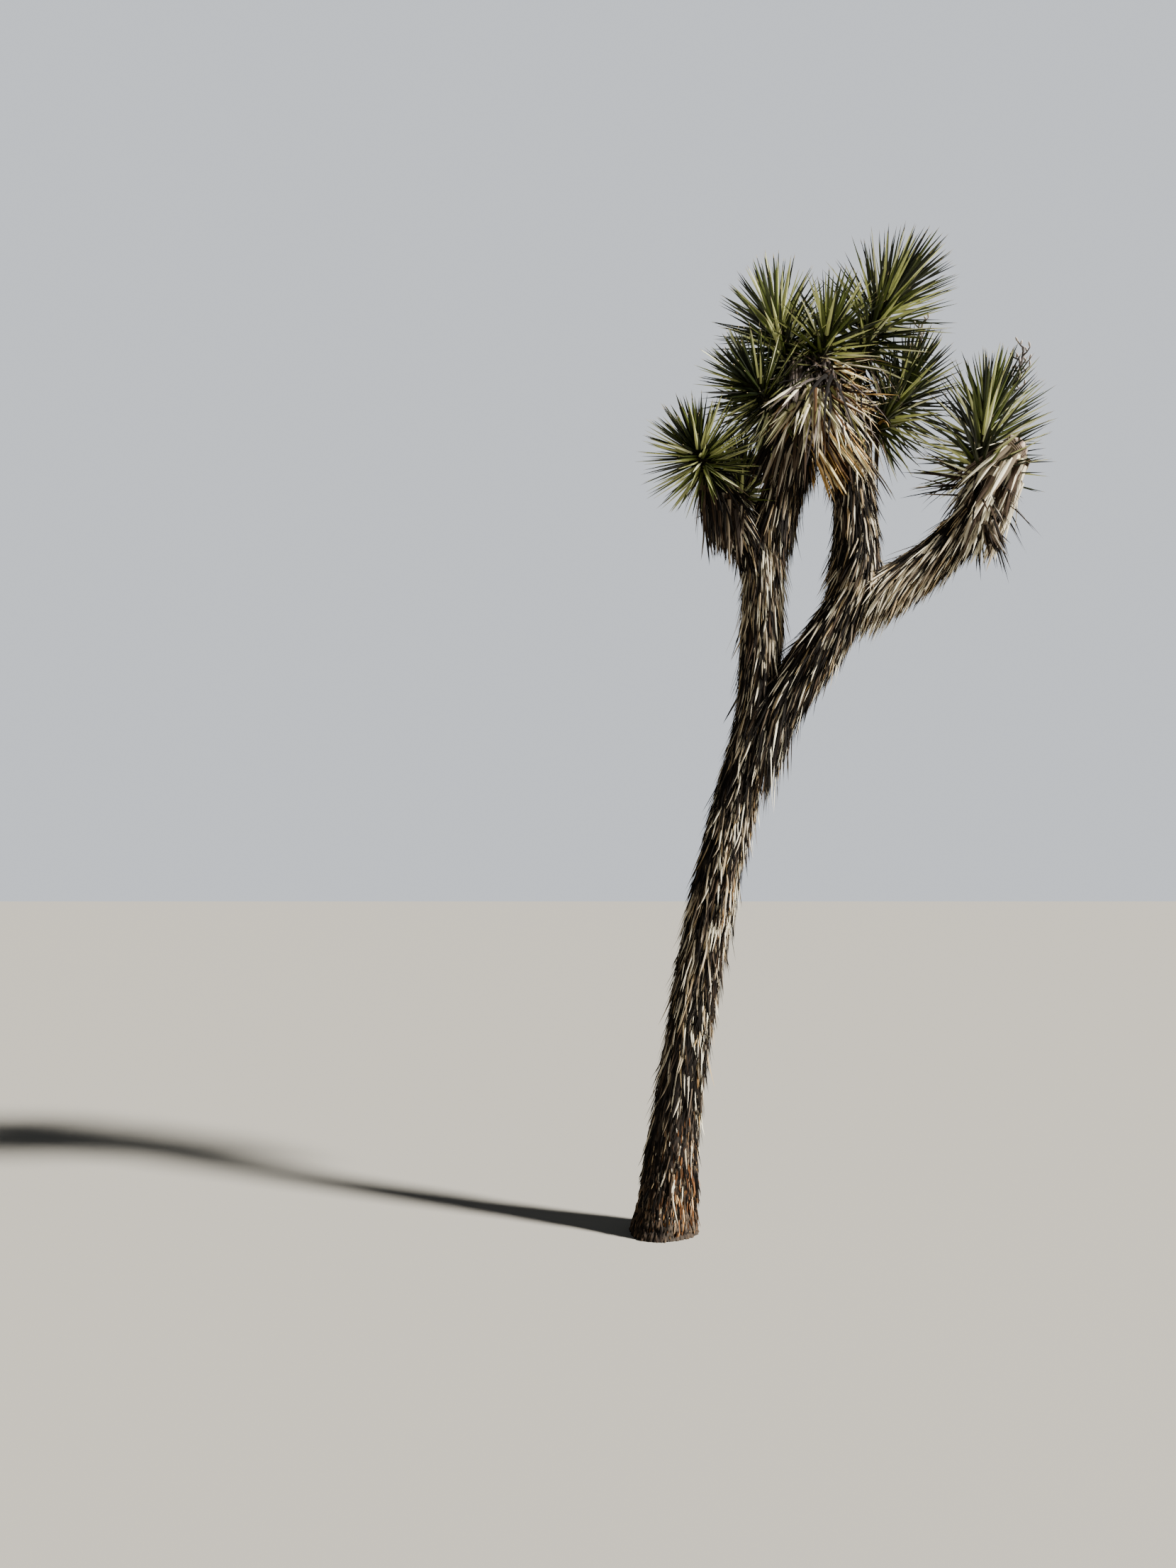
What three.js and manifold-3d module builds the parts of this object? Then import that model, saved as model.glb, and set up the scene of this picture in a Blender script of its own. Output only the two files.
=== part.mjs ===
// A joshua tree about 4.6 m tall. A leaning trunk forks into two shaggy boughs, they fork again, and their
// ends carry heads of dagger leaves, a skirt of hanging dead leaves and one dead end that droops.
// Millimetres, +X right, +Y back, +Z up. The origin is at ground level, in the middle of the flat cut under
// the trunk.
import * as THREE from "three";
import Module from "manifold-3d";

const wasm = await Module();
wasm.setup();

const GAP = 0.5; // between a piece and the limb that carries it
const LEAF_GAP = 1; // between a leaf and every piece that it doesn't grow on
const TINY_EDGE = 0.05; // no edge that a cut leaves is shorter
const SEED = 20;
const GOLDEN_TURN = Math.PI * (3 - Math.sqrt(5)); // from each leaf of a spiral to the next

// Limbs. Each starts on the centreline of the limb that carries it, at a share of that limb's length, and
// runs to its own tip. Bow is how far its middle stands off the straight line. Thick holds the radius over
// the hanging dead leaves, from foot to tip, skirts counts the layers of dead leaves along it, step is how
// far the hem of a layer stands out, ribs is how far every other side does, and lobes is how far the
// buttresses of the foot do, as a share of the radius.
const LIMB_SIDES = 10;
const LAYER_STEP = 11; // how far the hem of a layer stands out over the next one down
const HEM_SLIP = 14; // how ragged a hem is along the limb
const HEM_ROOT = 0.9; // share of a layer at which it goes in under the hem of the next one up
const DOME = [
  { rise: 0.06, share: 1 },
  { rise: 0.32, share: 0.78 },
  { rise: 0.5, share: 0.36 },
]; // the rounded end past a limb's tip, as shares of its radius there
const FOOT = { share: 1 / 6, lobes: 3 }; // the stretch of a trunk with buttresses, and how many
const LEVEL_GROUND = 0;
const LIMBS = [
  {
    name: "trunk",
    foot: [-10, 0, -60],
    tip: [458, 62, 2330],
    bow: [-58, 0, 0],
    thick: [158, 130, 119, 114, 110, 108, 109, 111, 113, 113, 110, 108, 106, 104, 102],
    sides: 18,
    skirts: 18,
    step: 14,
    ribs: 7,
    lobes: 0.06,
  },
  {
    name: "right_bough",
    on: "trunk",
    at: 0.93,
    tip: [905, -30, 2860],
    bow: [10, 0, -10],
    thick: [100, 106, 108, 106],
    skirts: 6,
  },
  {
    name: "left_bough",
    on: "trunk",
    at: 0.97,
    tip: [489, 120, 3100],
    bow: [6, 10, 0],
    thick: [100, 104, 107, 108],
    skirts: 7,
  },
  {
    name: "left_fork",
    on: "left_bough",
    at: 0.97,
    tip: [668, 22, 3670],
    bow: [10, 5, -10],
    thick: [106, 108, 104, 88],
    skirts: 6,
  },
  {
    name: "left_arm",
    on: "left_bough",
    at: 0.93,
    tip: [230, 4, 3350],
    bow: [-18, 0, -14],
    thick: [86, 92, 88, 70],
    skirts: 4,
  },
  {
    name: "centre_limb",
    on: "right_bough",
    at: 0.95,
    tip: [874, 118, 3620],
    bow: [14, -10, 0],
    thick: [104, 110, 109, 104, 92],
    skirts: 7,
  },
  {
    name: "right_limb",
    on: "right_bough",
    at: 0.9,
    tip: [1530, -114, 3368],
    bow: [58, 0, -80],
    thick: [92, 96, 100, 96, 84],
    skirts: 7,
  },
];

// Heads. A stem starts inside its limb, as one limb starts in another, and the leaves stand on the leafy
// share of it in one spiral, from the tip down. Spread is a leaf's angle to the stem in degrees, at the tip
// and at the lowest leaf. Hanging dead leaves droop round the collar under the green ones, or all over a
// head that has died.
const STEM_SIDES = 6;
const STEM_TAPER = [1, 0.94, 0.8, 0.5]; // radius from foot to tip, of its radius at the foot
const HEADS = [
  {
    name: "head_far_left",
    on: "left_arm",
    at: 0.92,
    tip: [150, -85, 3462],
    bow: [-6, 0, 8],
    radius: 60,
    leafy: 0.72,
    leaves: 70,
    length: 268,
    spread: [8, 118],
    dead: 6,
  },
  {
    name: "head_inner_left",
    on: "left_arm",
    at: 0.45,
    tip: [392, 190, 3450],
    bow: [10, 0, -6],
    radius: 54,
    leafy: 0.6,
    leaves: 46,
    length: 232,
    spread: [8, 108],
    dead: 4,
  },
  {
    name: "head_left",
    on: "left_fork",
    at: 0.87,
    tip: [386, -130, 3762],
    bow: [0, 0, -20],
    radius: 62,
    leafy: 0.62,
    leaves: 66,
    length: 274,
    spread: [8, 116],
    dead: 11,
  },
  {
    name: "head_upper_left",
    on: "left_fork",
    at: 0.98,
    tip: [542, 100, 4176],
    bow: [-14, 0, 0],
    radius: 62,
    leafy: 0.58,
    leaves: 78,
    length: 308,
    spread: [6, 110],
    dead: 8,
  },
  {
    name: "head_middle",
    on: "left_fork",
    at: 0.97,
    tip: [777, -60, 4040],
    bow: [0, -10, 0],
    radius: 58,
    leafy: 0.5,
    leaves: 54,
    length: 282,
    spread: [8, 112],
    dead: 12,
  },
  {
    name: "head_top",
    on: "centre_limb",
    at: 0.97,
    tip: [1112, 50, 4276],
    bow: [-34, -10, 52],
    radius: 60,
    leafy: 0.6,
    leaves: 86,
    length: 338,
    spread: [8, 100],
    dead: 6,
  },
  {
    name: "head_right",
    on: "centre_limb",
    at: 0.88,
    tip: [1205, 200, 3915],
    bow: [30, 10, -30],
    radius: 60,
    leafy: 0.72,
    leaves: 78,
    length: 290,
    spread: [8, 104],
    dead: 7,
  },
  {
    name: "head_back",
    on: "centre_limb",
    at: 0.96,
    tip: [800, 430, 3950],
    bow: [0, 20, -20],
    radius: 60,
    leafy: 0.6,
    leaves: 56,
    length: 250,
    spread: [8, 114],
    dead: 8,
  },
  {
    name: "head_back_left",
    on: "left_fork",
    at: 0.9,
    tip: [490, 400, 3880],
    bow: [0, 20, -20],
    radius: 56,
    leafy: 0.6,
    leaves: 50,
    length: 246,
    spread: [8, 114],
    dead: 5,
  },
  {
    name: "head_far_right",
    on: "right_limb",
    at: 0.77,
    tip: [1514, 0, 3706],
    bow: [-20, 0, 0],
    radius: 56,
    leafy: 0.74,
    leaves: 82,
    length: 322,
    spread: [8, 92],
    dead: 8,
    stalk: true,
  },
  {
    name: "hanging_skirt",
    on: "left_fork",
    at: 0.93,
    tip: [778, -200, 3796],
    bow: [0, -30, 0],
    radius: 72,
    leafy: 0.72,
    leaves: 0,
    length: 430,
    spread: [60, 115],
    dead: 52,
  },
  {
    name: "dead_end",
    on: "right_limb",
    at: 0.98,
    tip: [1600, -128, 3444],
    bow: [0, 0, 12],
    radius: 94,
    leafy: 0.8,
    leaves: 0,
    length: 270,
    spread: [112, 150],
    dead: 40,
  },
];

// One leaf is a three-sided blade, flat above and keeled below, that widens from a point inside its stem to
// its belly and tapers to its tip. Lengths vary along the spiral, shorter at both ends than at its middle,
// and angles wander by some degrees. A dead leaf bends down at its belly.
const LEAF = {
  width: 24,
  belly: 0.26,
  keel: 0.26,
  sunk: 26,
  wander: 7,
  tipShort: 0.84,
  collarShort: 0.86,
  middleLong: 0.15,
  opening: 0.8,
  lengths: [0.95, 1.05],
};
const DEAD_LEAF = { width: 27, outward: [62, 98], fall: 0.72, lengths: [0.69, 1.03], collar: 0.04 };
const ROOT_OUT = { share: 0.75, most: 0.5 }; // how far out a leaf's root lies, in radii there and at the foot

// The dry flower stalk is a thin rod with short side twigs on its upper half, the lowest ones longest.
const STALK = {
  at: 0.72,
  run: [105, 60, 385],
  bow: [-10, 0, 0],
  radius: [9.1, 4.9],
  bare: 0.5,
  twigs: 9,
  twigRadius: [4.5, 2.25],
  twigLength: [58, 41],
  twigRise: 0.5,
  twigBow: [0, 0, -4],
  sides: 3,
};

/** A repeatable random number maker, from 0 to 1. */
function randomFrom(seed) {
  let state = seed;
  return () => {
    state = (state + 0x6d2b79f5) | 0;
    let mixed = Math.imul(state ^ (state >>> 15), 1 | state);
    mixed = (mixed + Math.imul(mixed ^ (mixed >>> 7), 61 | mixed)) ^ mixed;
    return ((mixed ^ (mixed >>> 14)) >>> 0) / 4294967296;
  };
}

/** A random value between the two of a range. */
function between([least, most], random) {
  return THREE.MathUtils.lerp(least, most, random());
}

/** The value at a share of the way along a list of evenly spaced values. */
function along(values, share) {
  const place = THREE.MathUtils.clamp(share, 0, 1) * (values.length - 1);
  const low = Math.min(Math.floor(place), values.length - 2);
  return THREE.MathUtils.lerp(values[low], values[low + 1], place - low);
}

/** The centreline from a foot to a tip, by the bow of its middle. */
function centreline(foot, tip, bow) {
  const middle = foot.clone().add(tip).multiplyScalar(0.5);
  return new THREE.QuadraticBezierCurve3(foot, middle.addScaledVector(new THREE.Vector3(...bow), 2), tip);
}

/** The axes at a share of a centreline: along it, and two across it. */
function axesAt(curve, share) {
  const up = curve.getTangent(THREE.MathUtils.clamp(share, 0, 1));
  const across = new THREE.Vector3(0, 1, 0).cross(up).normalize();
  return { up, across, back: up.clone().cross(across) };
}

/** A closed solid from its corners and its triangles. */
function solid(corners, faces) {
  const vertProperties = new Float32Array(corners.flatMap((corner) => corner.toArray()));
  const triVerts = new Uint32Array(faces.flat());
  return new wasm.Manifold(new wasm.Mesh({ numProp: 3, vertProperties, triVerts }));
}

/** A closed skin over rings round a centreline. A ring has its share, the radius of each side and how far
 * each side slips along the centreline. */
function skin(curve, rings, sides) {
  const corners = [];
  for (const ring of rings) {
    const { up, across, back } = axesAt(curve, ring.share);
    const centre = curve.getPoint(ring.share);
    for (let side = 0; side < sides; side++) {
      const angle = (2 * Math.PI * side) / sides;
      corners.push(
        centre
          .clone()
          .addScaledVector(across, Math.cos(angle) * ring.radius(side))
          .addScaledVector(back, Math.sin(angle) * ring.radius(side))
          .addScaledVector(up, ring.slip(side)),
      );
    }
  }
  const faces = [];
  const last = (rings.length - 1) * sides;
  for (let side = 0; side < sides; side++) {
    const next = (side + 1) % sides;
    for (let low = 0; low < last; low += sides) {
      const high = low + sides;
      faces.push([low + side, low + next, high + next], [low + side, high + next, high + side]);
    }
  }
  for (let side = 1; side < sides - 1; side++) {
    faces.push([0, side + 1, side], [last, last + side, last + side + 1]);
  }
  return solid(corners, faces);
}

/** The rings of a limb: layers of dead leaves like stacked skirts, with ragged hems, and a rounded end. */
function limbRings(limb, random) {
  const rings = [];
  const step = limb.step ?? LAYER_STEP;
  const length = limb.curve.getLength();
  let slips = new Array(limb.sides).fill(0);
  for (let layer = 0; layer < limb.skirts; layer++) {
    const hem = slips;
    const nextHem = Array.from({ length: limb.sides }, () => between([-HEM_SLIP, HEM_SLIP], random));
    const hemShare = layer / limb.skirts;
    const rootShare = (layer + HEM_ROOT) / limb.skirts;
    rings.push({
      share: hemShare,
      radius: (side) => limb.radiusAt(hemShare + hem[side] / length, side),
      slip: (side) => hem[side],
    });
    rings.push({
      share: rootShare,
      radius: (side) => limb.radiusAt(rootShare, side) - step,
      slip: (side) => nextHem[side],
    });
    slips = nextHem;
  }
  const last = limb.radiusAt(1, 0) - step;
  for (const { rise, share } of DOME) {
    rings.push({ share: 1, radius: () => last * share, slip: () => last * rise });
  }
  return rings;
}

/** The rings of the sleeve that holds a solid with the gap all round, from the solid's own rings. */
function sleeveRings(rings) {
  const last = rings.length - 1;
  return rings.map((ring, index) => ({
    share: ring.share,
    radius: (side) => ring.radius(side) + GAP,
    slip: (side) => ring.slip(side) + (index === last ? GAP : 0) - (index === 0 ? GAP : 0),
  }));
}

/** A blade from a point inside a stem, with its width across and its keel below. With a fall above 0 it
 * bends down at its belly. */
function blade({ root, out, across, length, width, fall = 0 }) {
  const onward = out.clone().lerp(new THREE.Vector3(0, 0, -1), fall).normalize();
  const heading = out.clone().add(onward).normalize(); // halfway through the bend
  const below = heading.clone().cross(across).normalize();
  if (below.z > 0) below.negate();
  const side = below.clone().cross(heading).normalize();
  const belly = root.clone().addScaledVector(out, length * LEAF.belly);
  const corners = [
    root.clone().addScaledVector(out, -LEAF.sunk),
    belly.clone().addScaledVector(side, width / 2),
    belly.clone().addScaledVector(side, -width / 2),
    belly.clone().addScaledVector(below, width * LEAF.keel),
    belly.clone().addScaledVector(onward, length * (1 - LEAF.belly)),
  ];
  const faces = [
    [1, 2],
    [2, 3],
    [3, 1],
  ].flatMap(([a, b]) => [
    [0, b, a],
    [a, b, 4],
  ]);
  const made = solid(corners, faces);
  const turned = faces.map(([a, b, c]) => [a, c, b]);
  return made.volume() > 0 ? made : solid(corners, turned);
}

/** The green leaves of a head, in one spiral from the tip of its stem down. */
function greenLeaves(head, random) {
  const wander = () => between([-LEAF.wander, LEAF.wander], random);
  const blades = [];
  for (let index = 0; index < head.leaves; index++) {
    const age = (index + 0.5) / head.leaves;
    const ends = THREE.MathUtils.lerp(LEAF.tipShort, LEAF.collarShort, age);
    const full = ends + LEAF.middleLong * Math.sin(Math.PI * age);
    blades.push(
      leafOn(head, {
        share: 1 - head.leafy * age,
        turn: index * GOLDEN_TURN + THREE.MathUtils.degToRad(wander()),
        tilt: THREE.MathUtils.lerp(...head.spread, age ** LEAF.opening) + wander(),
        length: head.length * full * between(LEAF.lengths, random),
        width: LEAF.width,
        fall: 0,
      }),
    );
  }
  return blades;
}

/** The dead leaves that hang round the collar of a head, or all over a dead one. */
function deadLeaves(head, random) {
  const collar = 1 - head.leafy;
  const blades = [];
  for (let index = 0; index < head.dead; index++) {
    const age = (index + 0.5) / head.dead;
    blades.push(
      leafOn(head, {
        share: head.leaves ? collar + DEAD_LEAF.collar * (random() - 0.5) : 1 - head.leafy * age,
        turn: index * GOLDEN_TURN,
        tilt: between(head.leaves ? DEAD_LEAF.outward : head.spread, random),
        length: head.length * between(DEAD_LEAF.lengths, random),
        width: DEAD_LEAF.width,
        fall: DEAD_LEAF.fall,
      }),
    );
  }
  return blades;
}

/** One leaf at a share of a head's stem, turned round it and tilted from it by an angle in degrees. */
function leafOn(head, { share, turn, tilt, length, width, fall }) {
  const { up, across, back } = axesAt(head.curve, share);
  const outward = across.clone().multiplyScalar(Math.cos(turn)).addScaledVector(back, Math.sin(turn));
  const lean = THREE.MathUtils.degToRad(tilt);
  const out = up.clone().multiplyScalar(Math.cos(lean)).addScaledVector(outward, Math.sin(lean));
  const reach = Math.min(head.radiusAt(share), head.radius * ROOT_OUT.most) * ROOT_OUT.share;
  const root = head.curve.getPoint(share).addScaledVector(outward, reach);
  return blade({ root, out, across: up.clone().cross(outward), length, width, fall });
}

/** The rings of a head's smooth stem. */
function stemRings(head) {
  return STEM_TAPER.map((_, index) => {
    const share = index / (STEM_TAPER.length - 1);
    return { share, radius: () => head.radiusAt(share), slip: () => 0 };
  });
}

/** A thin rod along a centreline, with its radius at the foot and at the tip. */
function rod(curve, radii) {
  const rings = radii.map((radius, share) => ({ share, radius: () => radius, slip: () => 0 }));
  return skin(curve, rings, STALK.sides);
}

/** The dry flower stalk beside a head's tip, with its side twigs. */
function stalkSolids(head) {
  const foot = head.curve.getPoint(STALK.at);
  const curve = centreline(foot, foot.clone().add(new THREE.Vector3(...STALK.run)), STALK.bow);
  const pieces = [rod(curve, STALK.radius)];
  for (let index = 0; index < STALK.twigs; index++) {
    const height = index / (STALK.twigs - 1);
    const turn = index * GOLDEN_TURN;
    const root = curve.getPoint(THREE.MathUtils.lerp(STALK.bare, 1, height));
    const reach = new THREE.Vector3(Math.cos(turn), Math.sin(turn), STALK.twigRise);
    const end = root.clone().addScaledVector(reach, along(STALK.twigLength, height));
    pieces.push(rod(centreline(root, end, STALK.twigBow), STALK.twigRadius));
  }
  return pieces;
}

/** The largest body of a solid, without the loose scraps and the tiny edges that a cut leaves. */
function largest(made) {
  const bodies = made.decompose();
  return bodies.reduce((best, body) => (body.volume() > best.volume() ? body : best)).simplify(TINY_EDGE);
}

/** True where a piece is at least the leaf gap clear of all the others. */
function isClear(piece, others) {
  return others.every((other) => piece.minGap(other, LEAF_GAP) >= LEAF_GAP);
}

/** The limbs by name, each with its centreline, its radius at a place, its solid and its sleeve. */
function growLimbs(random) {
  const limbs = new Map();
  for (const spec of LIMBS) {
    const foot = spec.on ? limbs.get(spec.on).curve.getPoint(spec.at) : new THREE.Vector3(...spec.foot);
    const curve = centreline(foot, new THREE.Vector3(...spec.tip), spec.bow);
    const limb = { sides: LIMB_SIDES, ribs: 0, lobes: 0, ...spec, curve };
    limb.radiusAt = (share, side) => {
      const fade = Math.max(0, 1 - share / FOOT.share);
      const lobe = limb.lobes * fade * Math.cos((2 * Math.PI * FOOT.lobes * side) / limb.sides);
      return along(limb.thick, share) * (1 + lobe) + (side % 2 ? -limb.ribs : 0);
    };
    const rings = limbRings(limb, random);
    let made = skin(curve, rings, limb.sides);
    for (const other of limbs.values()) made = made.subtract(other.sleeve);
    limb.solid = largest(spec.on ? made : made.trimByPlane([0, 0, 1], LEVEL_GROUND));
    limb.sleeve = skin(curve, sleeveRings(rings), limb.sides);
    limbs.set(spec.name, limb);
  }
  return limbs;
}

/** The heads by name, as solids that are clear of the limbs and of each other. */
function growHeads(limbs, random) {
  const carriers = [...limbs.values()];
  const heads = HEADS.map((spec) => {
    const foot = limbs.get(spec.on).curve.getPoint(spec.at);
    const head = { ...spec, curve: centreline(foot, new THREE.Vector3(...spec.tip), spec.bow) };
    head.radiusAt = (share) => spec.radius * along(STEM_TAPER, share);
    return head;
  });
  const sleeves = carriers.map((limb) => limb.sleeve);
  for (const head of heads) {
    const rings = stemRings(head);
    const whole = skin(head.curve, rings, STEM_SIDES);
    head.stem = largest(sleeves.reduce((left, sleeve) => left.subtract(sleeve), whole));
    sleeves.push(skin(head.curve, sleeveRings(rings), STEM_SIDES));
  }
  for (const head of heads) {
    const others = [
      ...carriers.map((limb) => limb.solid),
      ...heads.filter((other) => other !== head).map((other) => other.solid ?? other.stem),
    ];
    const grown = [...greenLeaves(head, random), ...deadLeaves(head, random)];
    if (head.stalk) grown.push(...stalkSolids(head));
    const kept = grown.filter((piece) => isClear(piece, others));
    head.solid = largest(wasm.Manifold.union([head.stem, ...kept]));
  }
  return heads;
}

/** A mesh for one node, from its solid. */
function meshOf(name, made, material) {
  const { vertProperties, triVerts } = made.getMesh();
  const geometry = new THREE.BufferGeometry();
  geometry.setAttribute("position", new THREE.BufferAttribute(vertProperties, 3));
  geometry.setIndex(new THREE.BufferAttribute(triVerts, 1));
  geometry.computeVertexNormals();
  const mesh = new THREE.Mesh(geometry, material);
  mesh.name = name;
  return mesh;
}

const barkMaterial = new THREE.MeshStandardMaterial({ color: 0x6b5138, roughness: 0.95, metalness: 0 });
const thatchMaterial = new THREE.MeshStandardMaterial({ color: 0x8f7a5c, roughness: 0.9, metalness: 0 });
const leafMaterial = new THREE.MeshStandardMaterial({ color: 0x7d8445, roughness: 0.5, metalness: 0 });

const random = randomFrom(SEED);
const limbs = growLimbs(random);
const tree = new THREE.Group();
for (const limb of limbs.values()) {
  tree.add(meshOf(limb.name, limb.solid, limb.name === "trunk" ? barkMaterial : thatchMaterial));
}
for (const head of growHeads(limbs, random)) {
  tree.add(meshOf(head.name, head.solid, head.leaves ? leafMaterial : thatchMaterial));
}

export default tree;
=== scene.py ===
"""A joshua tree about 4.6 m tall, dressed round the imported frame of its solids.

Metres, +X right, +Y back, +Z up. The origin is at ground level, in the middle of the flat cut under the
trunk. Each limb is a core with the bark's relief under a coat of hanging dead leaves. Each head grows its
dagger leaves by the rule of its solid, carried finer: one spiral from the tip of a stem down, turned by the
golden angle from leaf to leaf.
"""

from __future__ import annotations

import logging
import math
from dataclasses import dataclass, field, fields, replace
from enum import Enum, IntEnum
from types import SimpleNamespace

import bmesh
import bpy
import numpy as np
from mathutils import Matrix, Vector


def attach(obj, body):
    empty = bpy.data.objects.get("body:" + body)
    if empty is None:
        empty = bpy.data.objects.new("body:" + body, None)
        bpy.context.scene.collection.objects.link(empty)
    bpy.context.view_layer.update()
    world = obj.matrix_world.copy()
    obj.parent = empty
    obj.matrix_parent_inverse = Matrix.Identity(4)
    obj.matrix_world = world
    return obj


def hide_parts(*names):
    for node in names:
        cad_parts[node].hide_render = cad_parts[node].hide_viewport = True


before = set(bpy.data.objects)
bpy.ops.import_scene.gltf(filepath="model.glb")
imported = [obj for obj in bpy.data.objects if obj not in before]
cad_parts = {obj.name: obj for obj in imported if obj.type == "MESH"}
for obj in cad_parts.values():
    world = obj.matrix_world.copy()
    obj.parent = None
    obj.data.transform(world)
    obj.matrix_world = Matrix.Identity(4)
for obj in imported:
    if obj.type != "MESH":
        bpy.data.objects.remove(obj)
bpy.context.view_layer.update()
BODY = "root"
LOG = logging.getLogger("joshua_tree")

GOLDEN_TURN = math.pi * (3 - math.sqrt(5))
LEVEL_GROUND = 0.0

# Where each kind of random draw starts, and the steps from one row of draws to the next
SEED = 20
DRAW_STEP = 101
CORE_STEP = 31
PAINTED_SUNLIGHT_STRAW_SEED = SEED + 40
PAINTED_SUNLIGHT_FLAKE_SEED = SEED + 41
COLLAR_SEED = SEED + 50
SPRAY_SEED = SEED + 90
SWATHE_SEED = SEED + 200
SWATHE_STEP = 20

Point = tuple[float, float, float]


class Slot(Enum):
    """The record's material slots."""

    BARK = "bark"
    THATCH = "thatch"
    LEAF = "leaf"
    DEAD_LEAF = "dead_leaf"


class Zone(IntEnum):
    """The parts of a leaf that have a colour of their own."""

    FACE = 0
    MARGIN = 1
    SPINE = 2
    # The base of a leaf, dealt a dark olive as painted shade
    ROOT = 3


# Node trees


class Field:
    """A number or a vector that runs through a node tree. Arithmetic on fields adds the nodes for it."""

    def __init__(self, bench: Bench, socket: bpy.types.NodeSocket) -> None:
        """Holds the output that gives the value, and the tree that it is in."""
        self.bench, self.socket = bench, socket

    def is_vector(self) -> bool:
        """Returns True for a vector."""
        return self.socket.type == "VECTOR"

    def by(self, operation: str, *others: Operand) -> Field:
        """Returns what a maths node makes of this value and any others."""
        kind = "ShaderNodeVectorMath" if self.is_vector() else "ShaderNodeMath"
        return self.bench.value(kind, dict(enumerate((self, *others))), operation=operation)

    def scaled(self, share: Operand) -> Field:
        """Returns this vector at a number times its length."""
        return self.bench.value("ShaderNodeVectorMath", {0: self, "Scale": share}, operation="SCALE")

    def __add__(self, other: Operand) -> Field:
        """Returns the sum."""
        return self.by("ADD", other)

    def __sub__(self, other: Operand) -> Field:
        """Returns the difference."""
        return self.by("SUBTRACT", other)

    def __rsub__(self, other: float) -> Field:
        """Returns a plain number less this one."""
        return self.bench.value("ShaderNodeMath", {0: other, 1: self}, operation="SUBTRACT")

    def __mul__(self, other: Operand) -> Field:
        """Returns the product, a vector's with a number included."""
        if not self.is_vector() and isinstance(other, Field) and other.is_vector():
            return other.scaled(self)
        return self.scaled(other) if self.is_vector() else self.by("MULTIPLY", other)

    def __truediv__(self, other: Operand) -> Field:
        """Returns the quotient of two numbers."""
        return self.by("DIVIDE", other)

    def __pow__(self, other: Operand) -> Field:
        """Returns the power of two numbers."""
        return self.by("POWER", other)

    __radd__ = __add__
    __rmul__ = __mul__

    def cross(self, other: Operand) -> Field:
        """Returns the cross product of two vectors."""
        return self.by("CROSS_PRODUCT", other)

    def unit(self) -> Field:
        """Returns the vector at length 1."""
        return self.by("NORMALIZE")

    def dot(self, other: Operand) -> Field:
        """Returns the dot product of two vectors."""
        return self.bench.value("ShaderNodeVectorMath", {0: self, 1: other}, "Value", operation="DOT_PRODUCT")

    def part(self, axis: int) -> Field:
        """Returns one number of a vector, by its place."""
        return self.bench.value("ShaderNodeSeparateXYZ", {0: self}, axis)


Operand = Field | bpy.types.NodeSocket | bpy.types.Material | float | str | tuple[float, ...]
Inputs = dict[str | int, Operand]


class Bench:
    """A node tree in the making."""

    def __init__(self, tree: bpy.types.NodeTree) -> None:
        """Holds the tree."""
        self.tree = tree

    def feed(self, node: bpy.types.Node, inputs: Inputs) -> None:
        """Links fields and outputs to a node's sockets, and sets the others' own values.

        Args:
            node: The node.
            inputs: What feeds its sockets, by name or place.
        """
        for key, value in inputs.items():
            value = value.socket if isinstance(value, Field) else value
            if isinstance(value, bpy.types.NodeSocket):
                self.tree.links.new(value, node.inputs[key])
            else:
                node.inputs[key].default_value = value

    def node(self, kind: str, inputs: Inputs | None = None, **settings: str) -> bpy.types.Node:
        """Adds a node.

        Args:
            kind: Its type.
            inputs: What feeds its sockets, by name or place.
            settings: Its own properties.

        Returns:
            The node.
        """
        made = self.tree.nodes.new(kind)
        for key, value in settings.items():
            setattr(made, key, value)
        self.feed(made, inputs or {})
        return made

    def value(self, kind: str, inputs: Inputs | None = None, output: str | int = 0, **settings: str) -> Field:
        """Adds a node and returns one of its outputs as a field."""
        return Field(self, self.node(kind, inputs, **settings).outputs[output])


# Finishes


def linear(code: str) -> tuple[float, float, float, float]:
    """Turns a colour code into the linear colour that a shader takes.

    Args:
        code: The colour as #rrggbb.

    Returns:
        Red, green, blue and an alpha of 1.
    """
    parts = [int(code[start : start + 2], 16) / 255 for start in (1, 3, 5)]
    red, green, blue = (p / 12.92 if p <= 0.04045 else ((p + 0.055) / 1.055) ** 2.4 for p in parts)
    return red, green, blue, 1.0


@dataclass(frozen=True)
class Finish:
    """A finish that is made once and found by its name after that."""

    name: str

    def material(self) -> bpy.types.Material:
        """Finds the finish's material, or makes it.

        Returns:
            The material.
        """
        made = bpy.data.materials.get(self.name)
        if not made:
            made = bpy.data.materials.new(self.name)
            made.use_nodes = True
            self.dress(Bench(made.node_tree), made.node_tree.nodes["Principled BSDF"])
        return made


@dataclass(frozen=True)
class Shade(Finish):
    """A dull finish of one colour, dealt out leaf by leaf."""

    colour: str
    roughness: float = 0.9
    gloss: float = 0.14

    def dress(self, bench: Bench, shader: bpy.types.Node) -> None:
        """Sets the shader's own sockets."""
        look = {"Base Color": linear(self.colour), "Roughness": self.roughness}
        bench.feed(shader, look | {"Specular IOR Level": self.gloss})


@dataclass(frozen=True)
class Palette:
    """The shades of one kind of leaf: those of its face, from dark to pale, and those of its other zones."""

    faces: tuple[Shade, ...]
    zones: tuple[tuple[Zone, Shade], ...] = ()


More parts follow.
